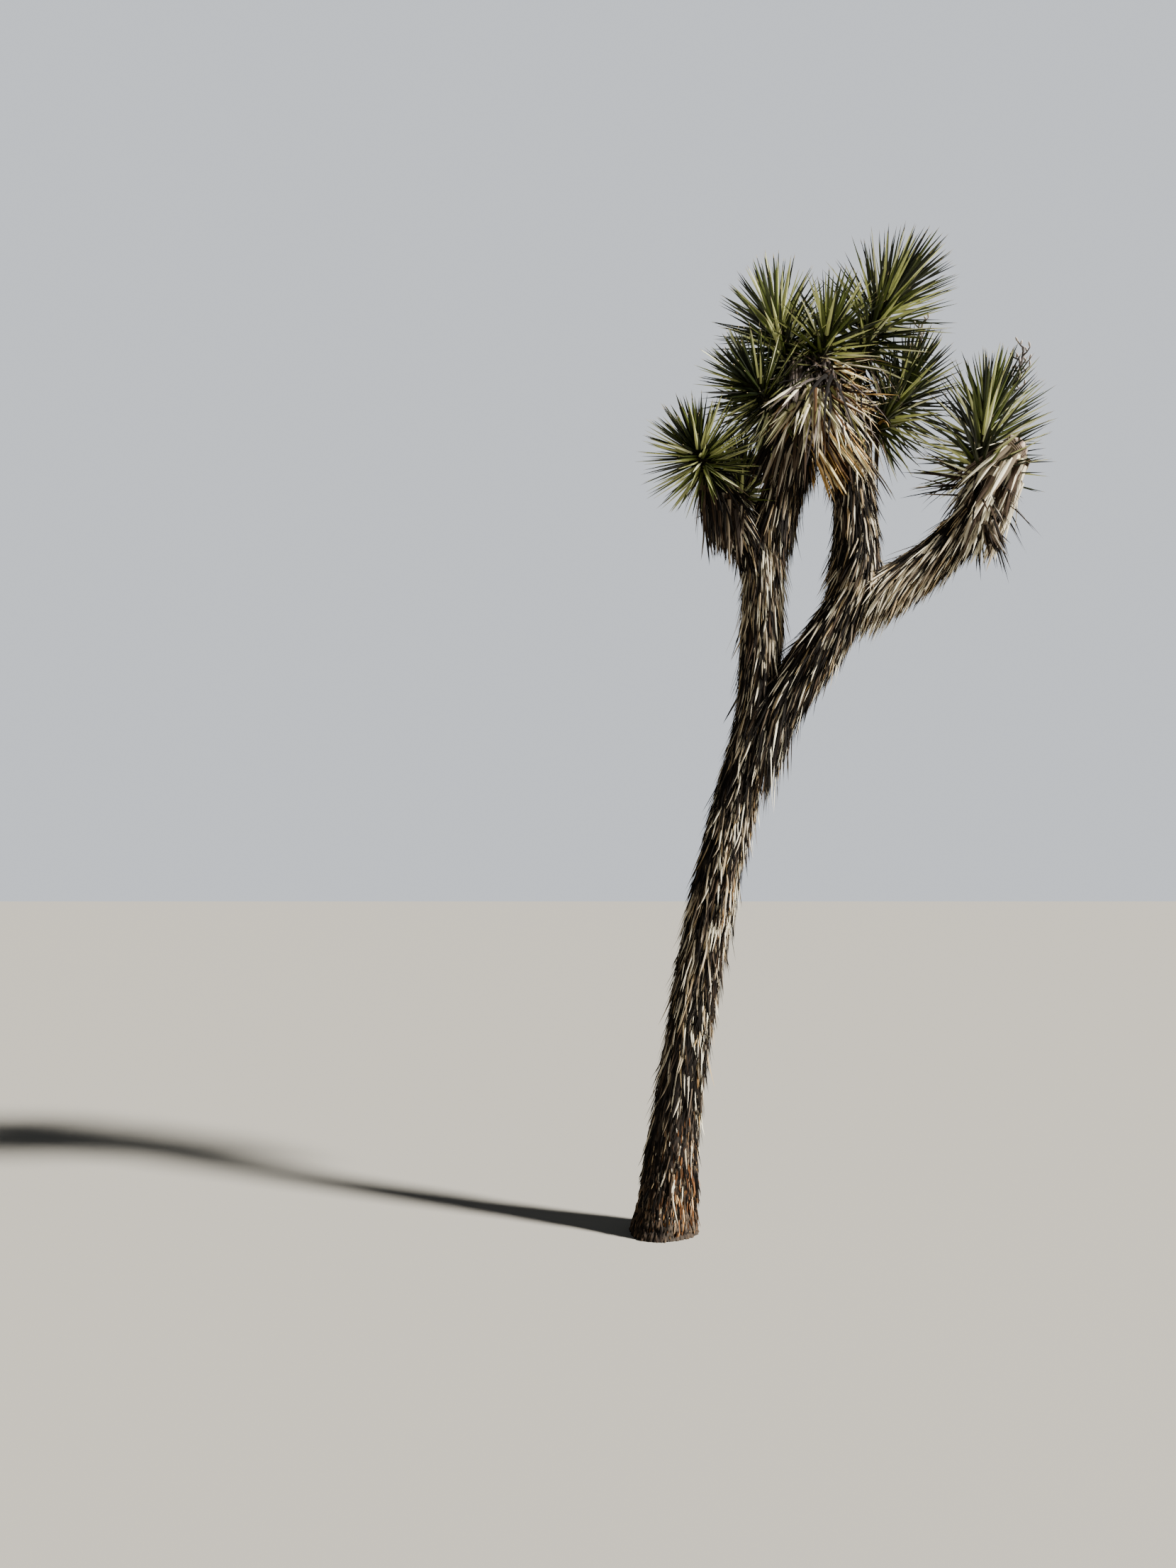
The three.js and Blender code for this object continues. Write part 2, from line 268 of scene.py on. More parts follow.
@dataclass(frozen=True)
class BarkFinish(Finish):
    """Fibrous bark that is dark in its cracks and orange-brown to grey on its ridges, by its relief."""

    ramp: tuple[tuple[float, str], ...]
    weathered: str
    grain: float
    bump: float

    DRAWN_OUT = 0.12
    FIBRE_SHARE = 0.7
    FIBRE_DEEP = 0.004
    GLOSS = 0.2

    def dress(self, bench: Bench, shader: bpy.types.Node) -> None:
        """Wires fibres and weathered patches to the shader's colour, roughness and bump.

        Args:
            bench: The material's tree.
            shader: Its shader.
        """
        place = bench.value("ShaderNodeTexCoord", output="Object")
        drawn = (self.grain, self.grain, self.grain * self.DRAWN_OUT)
        along = bench.value("ShaderNodeMapping", {"Vector": place, "Scale": drawn})
        noise = {"Vector": along, "Scale": 1.0, "Detail": 6.0, "Roughness": 0.65}
        fibre = bench.value("ShaderNodeTexNoise", noise)
        relief = bench.value("ShaderNodeAttribute", output="Fac", attribute_name="relief")
        level = fibre.by("MULTIPLY_ADD", self.FIBRE_SHARE, relief) - self.FIBRE_SHARE / 2
        ramp = bench.node("ShaderNodeValToRGB", {"Fac": level})
        stops = ramp.color_ramp.elements
        while len(stops) < len(self.ramp):
            stops.new(1.0)
        for stop, (position, code) in zip(stops, self.ramp):
            stop.position = position
            stop.color = linear(code)
        patches = bench.value("ShaderNodeTexNoise", {"Vector": place, "Scale": 5.0, "Detail": 3.0})
        span = {"Value": patches, "From Min": 0.48, "From Max": 0.72, "To Max": 0.55}
        worn = bench.value("ShaderNodeMapRange", span)
        mixed = {0: worn, 6: ramp.outputs["Color"], 7: linear(self.weathered)}
        colour = bench.value("ShaderNodeMix", mixed, 2, data_type="RGBA")
        rough = bench.value("ShaderNodeMapRange", {"Value": fibre, "To Min": 0.75, "To Max": 0.98})
        ridges = {"Strength": self.bump, "Distance": self.FIBRE_DEEP, "Height": fibre}
        bumpy = bench.value("ShaderNodeBump", ridges)
        look = {"Base Color": colour, "Roughness": rough, "Normal": bumpy}
        bench.feed(shader, look | {"Specular IOR Level": self.GLOSS})


FOOT_BARK = BarkFinish(
    name="fibrous_bark",
    ramp=((0.0, "#050403"), (0.32, "#130e0a"), (0.58, "#261d16"), (0.80, "#48392a"), (1.0, "#75634e")),
    weathered="#524a40",
    grain=130.0,
    bump=0.6,
)
# The core under the coat, near black where it shows between the hanging leaves: partly its own dark fibre,
# partly painted shade
PITH = BarkFinish(
    name="shaded_fibre",
    ramp=((0.0, "#090706"), (0.4, "#1c140e"), (0.7, "#382a1d"), (1.0, "#5a4834")),
    weathered="#40362b",
    grain=110.0,
    bump=0.5,
)
STEM_FINISH = BarkFinish(
    name="leaf_bases",
    ramp=((0.0, "#0c0b07"), (0.5, "#28261a"), (1.0, "#5f5a3c")),
    weathered="#403c2a",
    grain=120.0,
    bump=0.4,
)
CAP_FINISH = BarkFinish(
    name="worn_cap",
    ramp=((0.0, "#2b211c"), (0.35, "#7c685c"), (0.65, "#b09c8d"), (1.0, "#dccdbd")),
    weathered="#c6b6a8",
    grain=150.0,
    bump=0.8,
)

LEAF_GLOSS = 0.6
SHADED_GLOSS = 0.28
MARGIN_SHADE = Shade("leaf_margin", "#989c68", 0.40, LEAF_GLOSS)
SPINE_SHADE = Shade("leaf_spine", "#a99b78", 0.5)
# Dark olive at the base of each green leaf, deep inside its head: painted shade
PAINTED_SHADE_ROOT = Shade("leaf_root", "#2b2c18", 0.6)
LEAF_ZONES = ((Zone.MARGIN, MARGIN_SHADE), (Zone.ROOT, PAINTED_SHADE_ROOT), (Zone.SPINE, SPINE_SHADE))
# Green leaf faces, dealt at random from near-black to cream: partly the leaves' own differences in tone,
# partly lit and shaded copies, the near-black ones painted shade and the cream ones painted sunlit highlights
DEEP_OLIVE = Shade("leaf_deep_olive", "#101609", 0.36, SHADED_GLOSS)
OLIVE = Shade("leaf_olive", "#1c230c", 0.36, SHADED_GLOSS)
MOSS = Shade("leaf_moss", "#293111", 0.36, SHADED_GLOSS)
PALE_OLIVE = Shade("leaf_pale_olive", "#4f5827", 0.36, SHADED_GLOSS)
STRAW_GREEN = Shade("leaf_straw_green", "#bfc480", 0.36, LEAF_GLOSS)
PAINTED_HIGHLIGHT_CREAM = Shade("leaf_sunny_cream", "#eef0c2", 0.38, LEAF_GLOSS)
GREEN = Palette((DEEP_OLIVE, OLIVE, MOSS, PALE_OLIVE, STRAW_GREEN, PAINTED_HIGHLIGHT_CREAM), LEAF_ZONES)
# A paler copy of the green for heads that stand in strong light: painted light
PAINTED_LIT_GREEN = Palette((DEEP_OLIVE, MOSS, PALE_OLIVE, STRAW_GREEN, STRAW_GREEN, PAINTED_HIGHLIGHT_CREAM), LEAF_ZONES)

BLACK = Shade("thatch_black", "#0f0b08")
UMBER = Shade("thatch_umber", "#1f1812")
BROWN = Shade("thatch_brown", "#372b20")
GREY_BROWN = Shade("thatch_grey_brown", "#55493c")
TAN = Shade("thatch_tan", "#6d6150", 0.85)
GREY = Shade("thatch_grey", "#8a8172")
STRAW_TONE = Shade("thatch_straw", "#aa9c82", 0.8)
GOLD = Shade("thatch_gold", "#a48e6a", 0.8)
BLEACHED = Shade("thatch_bleached", "#dcd2b9", 0.8)
MAUVE = Shade("straw_mauve", "#746963", 0.85)
DIM_MAUVE = Shade("straw_dim_mauve", "#4c4441", 0.85)
PALE = Shade("straw_pale", "#ebe4c8", 0.75)
STRAW_GOLD = Shade("straw_gold", "#b28c4f", 0.8)
AMBER = Shade("straw_amber", "#8c6d47", 0.8)
HONEY = Shade("straw_honey", "#cdae7b", 0.8)
WHEAT = Shade("straw_wheat", "#decb98", 0.8)
FLAX = Shade("straw_flax", "#f0e4b6", 0.75)
EARTH = Shade("straw_earth", "#22140a")
CHESTNUT = Shade("straw_chestnut", "#463018", 0.85)
DRY_OLIVE = Shade("straw_olive", "#7f7b4b", 0.8)
SALLOW_TONE = Shade("straw_sallow", "#bcb78b", 0.8)
# Dealt mostly black: partly old dark leaves, partly painted shade for the dark gaps between strands
THATCH = Palette(
    (BLACK, BLACK, BLACK, UMBER, BROWN, GREY_BROWN, TAN, STRAW_TONE, GOLD, BLEACHED, BLEACHED, PALE)
)
STRAW = Palette(
    (EARTH, CHESTNUT, EARTH, BROWN, STRAW_GOLD, CHESTNUT, STRAW_GOLD, HONEY, WHEAT, FLAX)
)
# Golden straw for a second coat on the +X side of the trunk and boughs, the key light's side: painted
# sunlight
PAINTED_SUNLIGHT_GILT = Palette((BROWN, AMBER, STRAW_GOLD, TAN, AMBER, STRAW_GOLD, HONEY, BLEACHED))
CREAM = Palette((EARTH, CHESTNUT, BROWN, STRAW_GOLD, HONEY, WHEAT, FLAX, BLEACHED))
SALLOW = Palette((CHESTNUT, DRY_OLIVE, STRAW_TONE, SALLOW_TONE, BLEACHED, PALE))
DUSK = Palette((BLACK, BLACK, BLACK, UMBER, UMBER, BROWN, BROWN, GREY_BROWN, TAN, GREY))
# Faded mauve leaves mixed with black and umber ones, for the skirt under the middle heads: partly faded
# colour, partly painted shade
FADED_AND_SHADED = Palette((BLACK, BLACK, UMBER, UMBER, BROWN, DIM_MAUVE, MAUVE, DIM_MAUVE))
IVORY = Palette((BROWN, TAN, STRAW_TONE, BLEACHED, PALE, BLEACHED, PALE, PALE))
FLAKES = Palette(
    (
        Shade("flake_black", "#0b0806", 0.95),
        Shade("flake_dark", "#171009", 0.95),
        Shade("flake_brown", "#2b2017", 0.95),
        Shade("flake_red", "#503723", 0.95),
        Shade("flake_grey", "#6a5f50"),
        Shade("flake_tan", "#94795a"),
    )
)
# Orange-brown flakes for the +X side of the trunk's foot, the key light's side: painted sunlight
PAINTED_SUNLIGHT_RUSSET = Palette(
    (
        Shade("flake_rust", "#5e3c22"),
        Shade("flake_russet", "#7f5431"),
        Shade("flake_ochre", "#a57744"),
        Shade("flake_sand", "#c6a478"),
    )
)
STALK_SHADE = Shade("stalk_grey", "#5a5552", 0.85)
POD_SHADE = Shade("stalk_pod", "#b3a9a3", 0.85)


# Pieces


def placed(name: str, data: bpy.types.ID) -> bpy.types.Object:
    """Puts a mesh, a lamp or a camera in the scene.

    Args:
        name: The object's name.
        data: What it holds.

    Returns:
        The object.
    """
    made = bpy.data.objects.new(name, data)
    bpy.context.scene.collection.objects.link(made)
    return made


def cast(name: str, corners: list[Point], faces: list[list[int]], *finishes: Finish) -> bpy.types.Object:
    """Makes a piece from its corners and faces.

    Args:
        name: The piece's name.
        corners: Its corners.
        faces: Its faces, as places among the corners.
        finishes: Its finishes in order.

    Returns:
        The piece.
    """
    mesh = bpy.data.meshes.new(name)
    mesh.from_pydata(corners, [], faces)
    for finish in finishes:
        mesh.materials.append(finish.material())
    return placed(name, mesh)


def store(mesh: bpy.types.Mesh, name: str, values: np.ndarray) -> None:
    """Stores a number or a vector on each corner of a mesh."""
    kind, key = ("FLOAT_VECTOR", "vector") if values.ndim > 1 else ("FLOAT", "value")
    mesh.attributes.new(name, kind, "POINT").data.foreach_set(key, values.ravel())


# Leaves that grow by a rule

SOCKETS = {
    "float": "NodeSocketFloat",
    "int": "NodeSocketInt",
    "Point": "NodeSocketVector",
    "bpy.types.Object": "NodeSocketObject",
}
LEAF_AXES = {"primary_axis": "Y", "secondary_axis": "Z"}
EITHER_WAY = (-1.0, 1.0)
DOWN = (0.0, 0.0, -1.0)


class Growth(Bench):
    """A Geometry Nodes tree that repeats one leaf, with its named inputs and its own row of random draws."""

    SIZES: type

    def __init__(self, name: str, palette: Palette) -> None:
        """Builds the tree, with the fields of its kind's sizes as named inputs.

        Args:
            name: The tree's name.
            palette: The shades of its leaves.
        """
        super().__init__(bpy.data.node_groups.new(name, "GeometryNodeTree"))
        self.name = name
        self.draws = 0
        for side in ("INPUT", "OUTPUT"):
            self.tree.interface.new_socket("Geometry", in_out=side, socket_type="NodeSocketGeometry")
        sizes = (item for item in fields(self.SIZES) if item.type in SOCKETS)
        kinds = {item.name: SOCKETS[item.type] for item in sizes}
        for label, kind in kinds.items():
            self.tree.interface.new_socket(label, in_out="INPUT", socket_type=kind)
        source = self.tree.nodes.new("NodeGroupInput")
        self.leaf = source.outputs["Geometry"]
        self.size = SimpleNamespace(**{label: Field(self, source.outputs[label]) for label in kinds})
        self.node("NodeGroupOutput", {"Geometry": self.dealt(self.lay(), palette)})

    def vector(self, *parts: Operand) -> Field:
        """Returns a vector from its three numbers."""
        return self.value("ShaderNodeCombineXYZ", dict(enumerate(parts)))

    def random(self, low: float, high: float) -> Field:
        """Draws a random number for each point, from the tree's seed and the draw's place in the row.

        Args:
            low: The least value.
            high: The greatest value.

        Returns:
            The draw.
        """
        self.draws += 1
        inputs = {2: low, 3: high, 8: self.size.seed + float(self.draws * DRAW_STEP)}
        return self.value("FunctionNodeRandomValue", inputs, 1, data_type="FLOAT")

    def strewn(self, reach: Operand) -> Field:
        """Draws a random vector for each point, up to a reach in every direction."""
        return self.vector(*(self.random(*EITHER_WAY) for _ in range(3))) * reach

    def named(self, name: str, kind: str = "FLOAT") -> Field:
        """Returns an attribute of the geometry by its name."""
        made = self.node("GeometryNodeInputNamedAttribute", {"Name": name}, data_type=kind)
        return Field(self, next(out for out in made.outputs if out.enabled and out.name == "Attribute"))

    def stored(self, geometry: bpy.types.NodeSocket, name: str, value: Field) -> bpy.types.NodeSocket:
        """Stores a field on each point under a name.

        Args:
            geometry: The points.
            name: The attribute's name.
            value: What it holds.

        Returns:
            The points with it.
        """
        kind = "FLOAT_VECTOR" if value.is_vector() else "FLOAT"
        inputs = {"Geometry": geometry, "Name": name}
        made = self.node("GeometryNodeStoreNamedAttribute", inputs, data_type=kind, domain="POINT")
        place = next(at for at, slot in enumerate(made.inputs) if slot.enabled and slot.name == "Value")
        self.feed(made, {place: value})
        return made.outputs["Geometry"]

    def moved(self, geometry: bpy.types.NodeSocket, how: str, value: Field) -> bpy.types.NodeSocket:
        """Returns the geometry at a new position, or moved by an offset."""
        return self.node("GeometryNodeSetPosition", {"Geometry": geometry, how: value}).outputs[0]

    def plant(
        self, points: bpy.types.NodeSocket, out: Field, face: Field, size: Field, bend: Field, shade: Field
    ) -> bpy.types.NodeSocket:
        """Sets the tree's own leaf on every point, makes the leaves real and bends each along its length.

        Args:
            points: Where the leaves' roots are.
            out: The way each leaf runs.
            face: The way its upper face looks.
            size: Its scale across, along and through.
            bend: How far its tip is moved, with the square of the way along it.
            shade: Its place in the palette, from 0 to 1.

        Returns:
            The leaves as one mesh.
        """
        points = self.stored(self.stored(points, "bend", bend), "shade", shade)
        turned = self.value("FunctionNodeAxesToRotation", {0: out, 1: face}, **LEAF_AXES)
        inputs = {"Points": points, "Instance": self.leaf, "Rotation": turned, "Scale": size}
        set_out = self.node("GeometryNodeInstanceOnPoints", inputs).outputs[0]
        real = self.node("GeometryNodeRealizeInstances", {"Geometry": set_out}).outputs[0]
        along = self.named("along")
        return self.moved(real, "Offset", self.named("bend", "FLOAT_VECTOR") * (along * along))

    def dealt(self, geometry: bpy.types.NodeSocket, palette: Palette) -> bpy.types.NodeSocket:
        """Deals a palette's shades out by leaf and zone.

        Args:
            geometry: The leaves.
            palette: Their shades.

        Returns:
            The leaves with their materials.
        """
        shade, zone = self.named("shade"), self.named("zone", "INT")
        faces, count = enumerate(palette.faces), len(palette.faces)
        chosen = [(shade.by("GREATER_THAN", at / count or -1.0), tone) for at, tone in faces]
        chosen += [(zone.by("COMPARE", float(where), 0.5), tone) for where, tone in palette.zones]
        for selection, tone in chosen:
            inputs = {"Geometry": geometry, "Selection": selection, "Material": tone.material()}
            geometry = self.node("GeometryNodeSetMaterial", inputs).outputs[0]
        return geometry

    def grow(self, name: str, leaf: bpy.types.Mesh, sizes: Spiral | Hanging | Swathe) -> bpy.types.Object:
        """Grows a plain mesh from a leaf.

        Args:
            name: The new piece's name.
            leaf: The mesh that the tree repeats.
            sizes: The tree's inputs.

        Returns:
            The piece, with no modifier left on it.
        """
        piece = placed(name, leaf)
        modifier = piece.modifiers.new("grow", "NODES")
        modifier.node_group = self.tree
        for item in self.tree.interface.items_tree:
            if item.name in vars(sizes):
                modifier[item.identifier] = getattr(sizes, item.name)
        depsgraph = bpy.context.evaluated_depsgraph_get()
        grown = bpy.data.meshes.new_from_object(
            piece.evaluated_get(depsgraph), preserve_all_data_layers=True, depsgraph=depsgraph
        )
        piece.modifiers.remove(modifier)
        piece.data = grown
        grown.name = name
        for spare in ("bend", "shade", "along", "zone"):
            if spare in grown.attributes:
                grown.attributes.remove(grown.attributes[spare])
        return piece


@dataclass(frozen=True)
class Spiral:
    """The sizes of one spiral of leaves on a stem. Turns are in radians and shares run up the stem."""

    foot: Point
    control: Point
    tip: Point
    reach: float
    tip_tilt: float
    low_tilt: float
    wander: float
    seed: int
    top_share: float
    low_share: float
    leaves: int
    length: float
    droop: float
    curl: float
    opening: float = 0.8
    uneven: float = 0.25
    broad: float = 1.0
    hug: float = 0.0
    ageing: float = 0.0


class Rosette(Growth):
    """The spiral of leaves down a stem: the rule that the solids grow their leaves by."""

    SIZES = Spiral
    TIP_SHORT = 0.84
    MIDDLE_LONG = 0.15
    DARK_SKEW = 1.5
    FOLD = 0.75
    CURLS = (-0.6, 1.0)
    FALLS = (0.6, 1.3)
    WIDTHS = (0.85, 1.15)

    def lay(self) -> bpy.types.NodeSocket:
        """Lays the leaves from the stem's tip down.

        Returns:
            The leaves.
        """
        size = self.size
        index = self.value("GeometryNodeInputIndex")
        age = (index + 0.5) / size.leaves
        share = size.top_share + (size.low_share - size.top_share) * age
        rest = 1.0 - share
        centre = size.foot * (rest * rest) + size.control * (rest * share * 2.0) + size.tip * (share * share)
        up = ((size.control - size.foot) * rest + (size.tip - size.control) * share).unit()
        across = self.vector(0.0, 1.0, 0.0).cross(up).unit()
        back = up.cross(across)
        turn = index * GOLDEN_TURN + self.random(*EITHER_WAY) * size.wander
        outward = across * turn.by("COSINE") + back * turn.by("SINE")
        opened = size.tip_tilt + (size.low_tilt - size.tip_tilt) * age**size.opening
        tilt = opened + self.random(*EITHER_WAY) * size.wander
        rise, lean = tilt.by("COSINE"), tilt.by("SINE")
        out = up * rise + outward * lean
        face = up * lean - outward * rise
        middle = (age * math.pi).by("SINE") * self.MIDDLE_LONG + self.TIP_SHORT
        long = size.length * middle * (1.0 + self.random(*EITHER_WAY) * size.uneven)

        aside = up.cross(outward)
        sway = aside * self.random(*EITHER_WAY) * size.curl + face * self.random(*self.CURLS) * size.curl
        fall = self.vector(*DOWN) * (size.droop * self.random(*self.FALLS))
        folded = up * (rise + 1.0) + outward * (lean * self.FOLD)
        bend = (sway + fall - folded * size.hug) * long
        scale = self.vector(size.broad * self.random(*self.WIDTHS), long, size.broad)
        shade = self.random(0.0, 1.0) ** self.DARK_SKEW * (1.0 - size.ageing) + age * size.ageing
        points = self.node("GeometryNodePoints", {"Count": size.leaves}).outputs[0]
        roots = self.moved(points, "Position", centre + outward * size.reach)
        return self.plant(roots, out, face, scale, bend, shade)


@dataclass(frozen=True)
class Hanging:
    """The sizes of one coat. Sunk is how far the roots stand out of the core, and below 0 inside it."""

    core: bpy.types.Object
    density: float
    short: float
    long: float
    stray: float
    sway: float
    curl: float
    seed: int
    lift: float = 0.09
    gravity: float = 0.30
    sunk: float = -0.004


class Coat(Growth):
    """The dead leaves that hang down a limb like thatch, where its core is marked with the coat's name."""

    SIZES = Hanging
    CLUMPS = (15.0, 15.0, 5.0)
    CLUMP_SHADE = 0.16
    CLEAR_OF_GROUND = 0.74
    # Skews the dealing to the black leaves: partly old leaves, partly painted shade
    OLD_SKEW = 2.8
    # How much paler leaves are dealt toward +X, the key light's side: partly sun-bleaching, partly painted
    # sunlight
    BLEACH = 0.07
    PALEST = 0.999
    WILD = 10.0
    FRESHER = 2.0
    LEAST_LIFT = 0.3
    TUFT_LIFT = 1.4
    LEAST_HANG = 0.15
    FRINGE_HANG = 0.5
    FACES = (-0.5, 0.5)
    LENGTHS = (0.65, 1.2)
    WIDTHS = (0.7, 1.3)
    CURLS = (-1.0, 0.6)

    def lay(self) -> bpy.types.NodeSocket:
        """Lays the leaves down the core, clear of the ground, in tufts that stand off it together.

        Returns:
            The leaves.
        """
        size = self.size
        shape = self.node("GeometryNodeObjectInfo", {"Object": size.core}, transform_space="ORIGINAL")
        cover = self.named(self.name)
        inputs = {"Mesh": shape.outputs["Geometry"], "Seed": size.seed, "Density": size.density * cover}
        roots = self.node("GeometryNodeDistributePointsOnFaces", inputs).outputs[0]
        down = self.named("down", "FLOAT_VECTOR").unit()
        outward = self.named("outward", "FLOAT_VECTOR").unit()
        fringe, fresh = self.named("fringe"), self.named("fresh")
        aside = down.cross(outward).unit()
        place = self.value("GeometryNodeInputPosition")
        clump = place.by("MULTIPLY", self.CLUMPS)
        tufted = self.value("ShaderNodeTexNoise", {"Vector": clump, "Scale": 1.0, "Detail": 1.0})

        wild = self.random(0.0, 1.0) ** self.WILD
        raised = size.lift * (self.LEAST_LIFT + tufted * self.TUFT_LIFT) + wild * size.stray
        pull = self.vector(*DOWN) * size.gravity
        course = (down + pull + aside * (self.random(*EITHER_WAY) * size.sway)).unit()
        inward = course.dot(outward).by("MINIMUM", 0.0)
        out = (course - outward * inward + outward * raised).unit()
        fringed = size.short + (size.long - size.short) * fringe
        whole = fringed * self.random(*self.LENGTHS) * (cover * 0.5 + 0.5)
        length = whole.by("MINIMUM", place.part(2) * self.CLEAR_OF_GROUND)
        slim = (length / whole) ** 0.5
        pulled = pull * (fringe * self.FRINGE_HANG + self.LEAST_HANG)
        hang = pulled + outward * (self.random(*self.CURLS) * size.curl)
        bend = (hang + aside * (self.random(*EITHER_WAY) * size.curl)) * length
        scale = self.vector(self.random(*self.WIDTHS) * slim, length, slim)
        # Lower rows deal darker leaves: older leaves, and painted shade on shadowed limbs
        dealt = self.random(0.0, 1.0) ** (self.OLD_SKEW - fresh * self.FRESHER)
        # Paler leaves toward +X: partly sun-bleaching, partly painted sunlight
        sunny = outward.part(0) * self.BLEACH
        shade = (dealt + sunny + (tufted - 0.5) * self.CLUMP_SHADE).by("MINIMUM", self.PALEST)
        face = outward + aside * self.random(*self.FACES)
        return self.plant(self.moved(roots, "Offset", outward * size.sunk), out, face, scale, bend, shade)


@dataclass(frozen=True)
class Swathe:
    """Loose dead leaves that lie across a joint or hang from it. Courses are those of its two ends."""

    name: str
    start: Point
    end: Point
    first: Point
    last: Point
    leaves: int
    length: float
    run: float = 0.0
    scatter: float = 0.015
    jitter: float = 0.15
    sag: Point = (0.0, 0.0, -0.15)
    curl: float = 0.08
    broad: float = 1.0
    seed: int = SWATHE_SEED


class Drift(Growth):
    """Loose dead leaves strewn from one line and laid much the same way."""

    SIZES = Swathe
    RUN_LESS = 0.6
    TURNED = 0.6
    LENGTHS = (0.65, 1.2)
    WIDTHS = (0.75, 1.2)

    def lay(self) -> bpy.types.NodeSocket:
        """Lays the leaves between the two ends.

        Returns:
            The leaves.
        """
        size = self.size
        share = self.random(0.0, 1.0)
        course = (size.first * (1.0 - share) + size.last * share).unit()
        sent = self.random(0.0, 1.0) * size.run * (1.0 - share * self.RUN_LESS)
        root = size.start + (size.end - size.start) * share + course * sent + self.strewn(size.scatter)
        out = (course + self.strewn(size.jitter)).unit()
        face = self.vector(0.0, -1.0, 0.5) + self.strewn(self.TURNED)
        long = size.length * self.random(*self.LENGTHS)
        bend = (size.sag + self.strewn(size.curl)) * long
        scale = self.vector(size.broad * self.random(*self.WIDTHS), long, size.broad)
        points = self.node("GeometryNodePoints", {"Count": size.leaves, "Position": root}).outputs[0]
        return self.plant(points, out, face, scale, bend, self.random(0.0, 1.0))


@dataclass(frozen=True)
class Corner:
    """A corner of a leaf's section, in widths, and the zone of the face from it to the next corner."""

    across: float
    rise: float
    zone: Zone = Zone.FACE


@dataclass(frozen=True)
class Blade:
    """One leaf, a unit long, along +Y with its upper face up. Stations hold shares of length and width."""

    name: str
    width: float
    section: tuple[Corner, ...]
    stations: tuple[tuple[float, float], ...]
    spine: float = 1.0
    root: float = 0.0

    def mesh(self) -> bpy.types.Mesh:
        """Builds the leaf as a closed mesh, with its way along and its zones stored on it.

        Returns:
            The mesh.
        """
        corners = [
            (corner.across * self.width * wide, far, corner.rise * self.width * wide)
            for far, wide in self.stations
            for corner in self.section
        ]
        sides, apex = len(self.section), len(corners)
        corners.append((0.0, 1.0, 0.0))
        faces = [tuple(reversed(range(sides)))]
        zones = [Zone.ROOT if self.root else Zone.FACE]
        for level, (far, _) in enumerate(self.stations):
            for side, corner in enumerate(self.section):
                low, beside = level * sides + side, level * sides + (side + 1) % sides
                end = (apex,) if level == len(self.stations) - 1 else (beside + sides, low + sides)
                faces.append((low, beside, *end))
                zones.append(self.zone_at(far, corner.zone))
        made = bpy.data.meshes.new(self.name)
        made.from_pydata(corners, [], faces)
        store(made, "along", np.array([max(far, 0) for _, far, _ in corners]))
        made.attributes.new("zone", "INT", "FACE").data.foreach_set("value", [int(zone) for zone in zones])
        return made

    def zone_at(self, far: float, zone: Zone) -> Zone:
        """Returns the zone of a face that starts at a share of the leaf's length."""
        near = Zone.ROOT if far < self.root else zone
        return Zone.SPINE if far >= self.spine else near


def keeled(rise: float) -> tuple[Corner, ...]:
    """Returns a three-sided section with a raised middle."""
    return Corner(-0.5, 0.0), Corner(0.0, rise), Corner(0.5, 0.0)


DAGGER = Blade(
    name="dagger_leaf",
    width=0.0152,
    section=(
        Corner(-0.5, 0.14, Zone.MARGIN),
        Corner(-0.44, 0.09),
        Corner(0.0, -0.12),
        Corner(0.44, 0.09, Zone.MARGIN),
        Corner(0.5, 0.14),
        Corner(0.0, -0.30),
    ),
    stations=((-0.08, 1.6), (0.03, 1.35), (0.13, 1.05), (0.36, 1.0), (0.66, 0.70), (0.93, 0.20)),
    spine=0.93,
    root=0.12,
)
WITHERED = Blade("withered_leaf", 0.014, keeled(0.2), ((-0.05, 1.3), (0.2, 0.95), (0.5, 0.85), (0.8, 0.5)))
STRAND = Blade("strand", 0.0088, keeled(0.22), ((-0.04, 1.2), (0.35, 1.0), (0.75, 0.62)))
FLAKE = Blade("bark_flake", 0.0068, keeled(0.3), ((-0.15, 0.35), (0.2, 1.0), (0.75, 0.85)))


# Limbs

TRUNK_FOOT = (-0.010, 0.0, -0.060)
DOME = ((0.06, 1.0), (0.32, 0.78), (0.5, 0.36))
DOME_TOP = 0.56


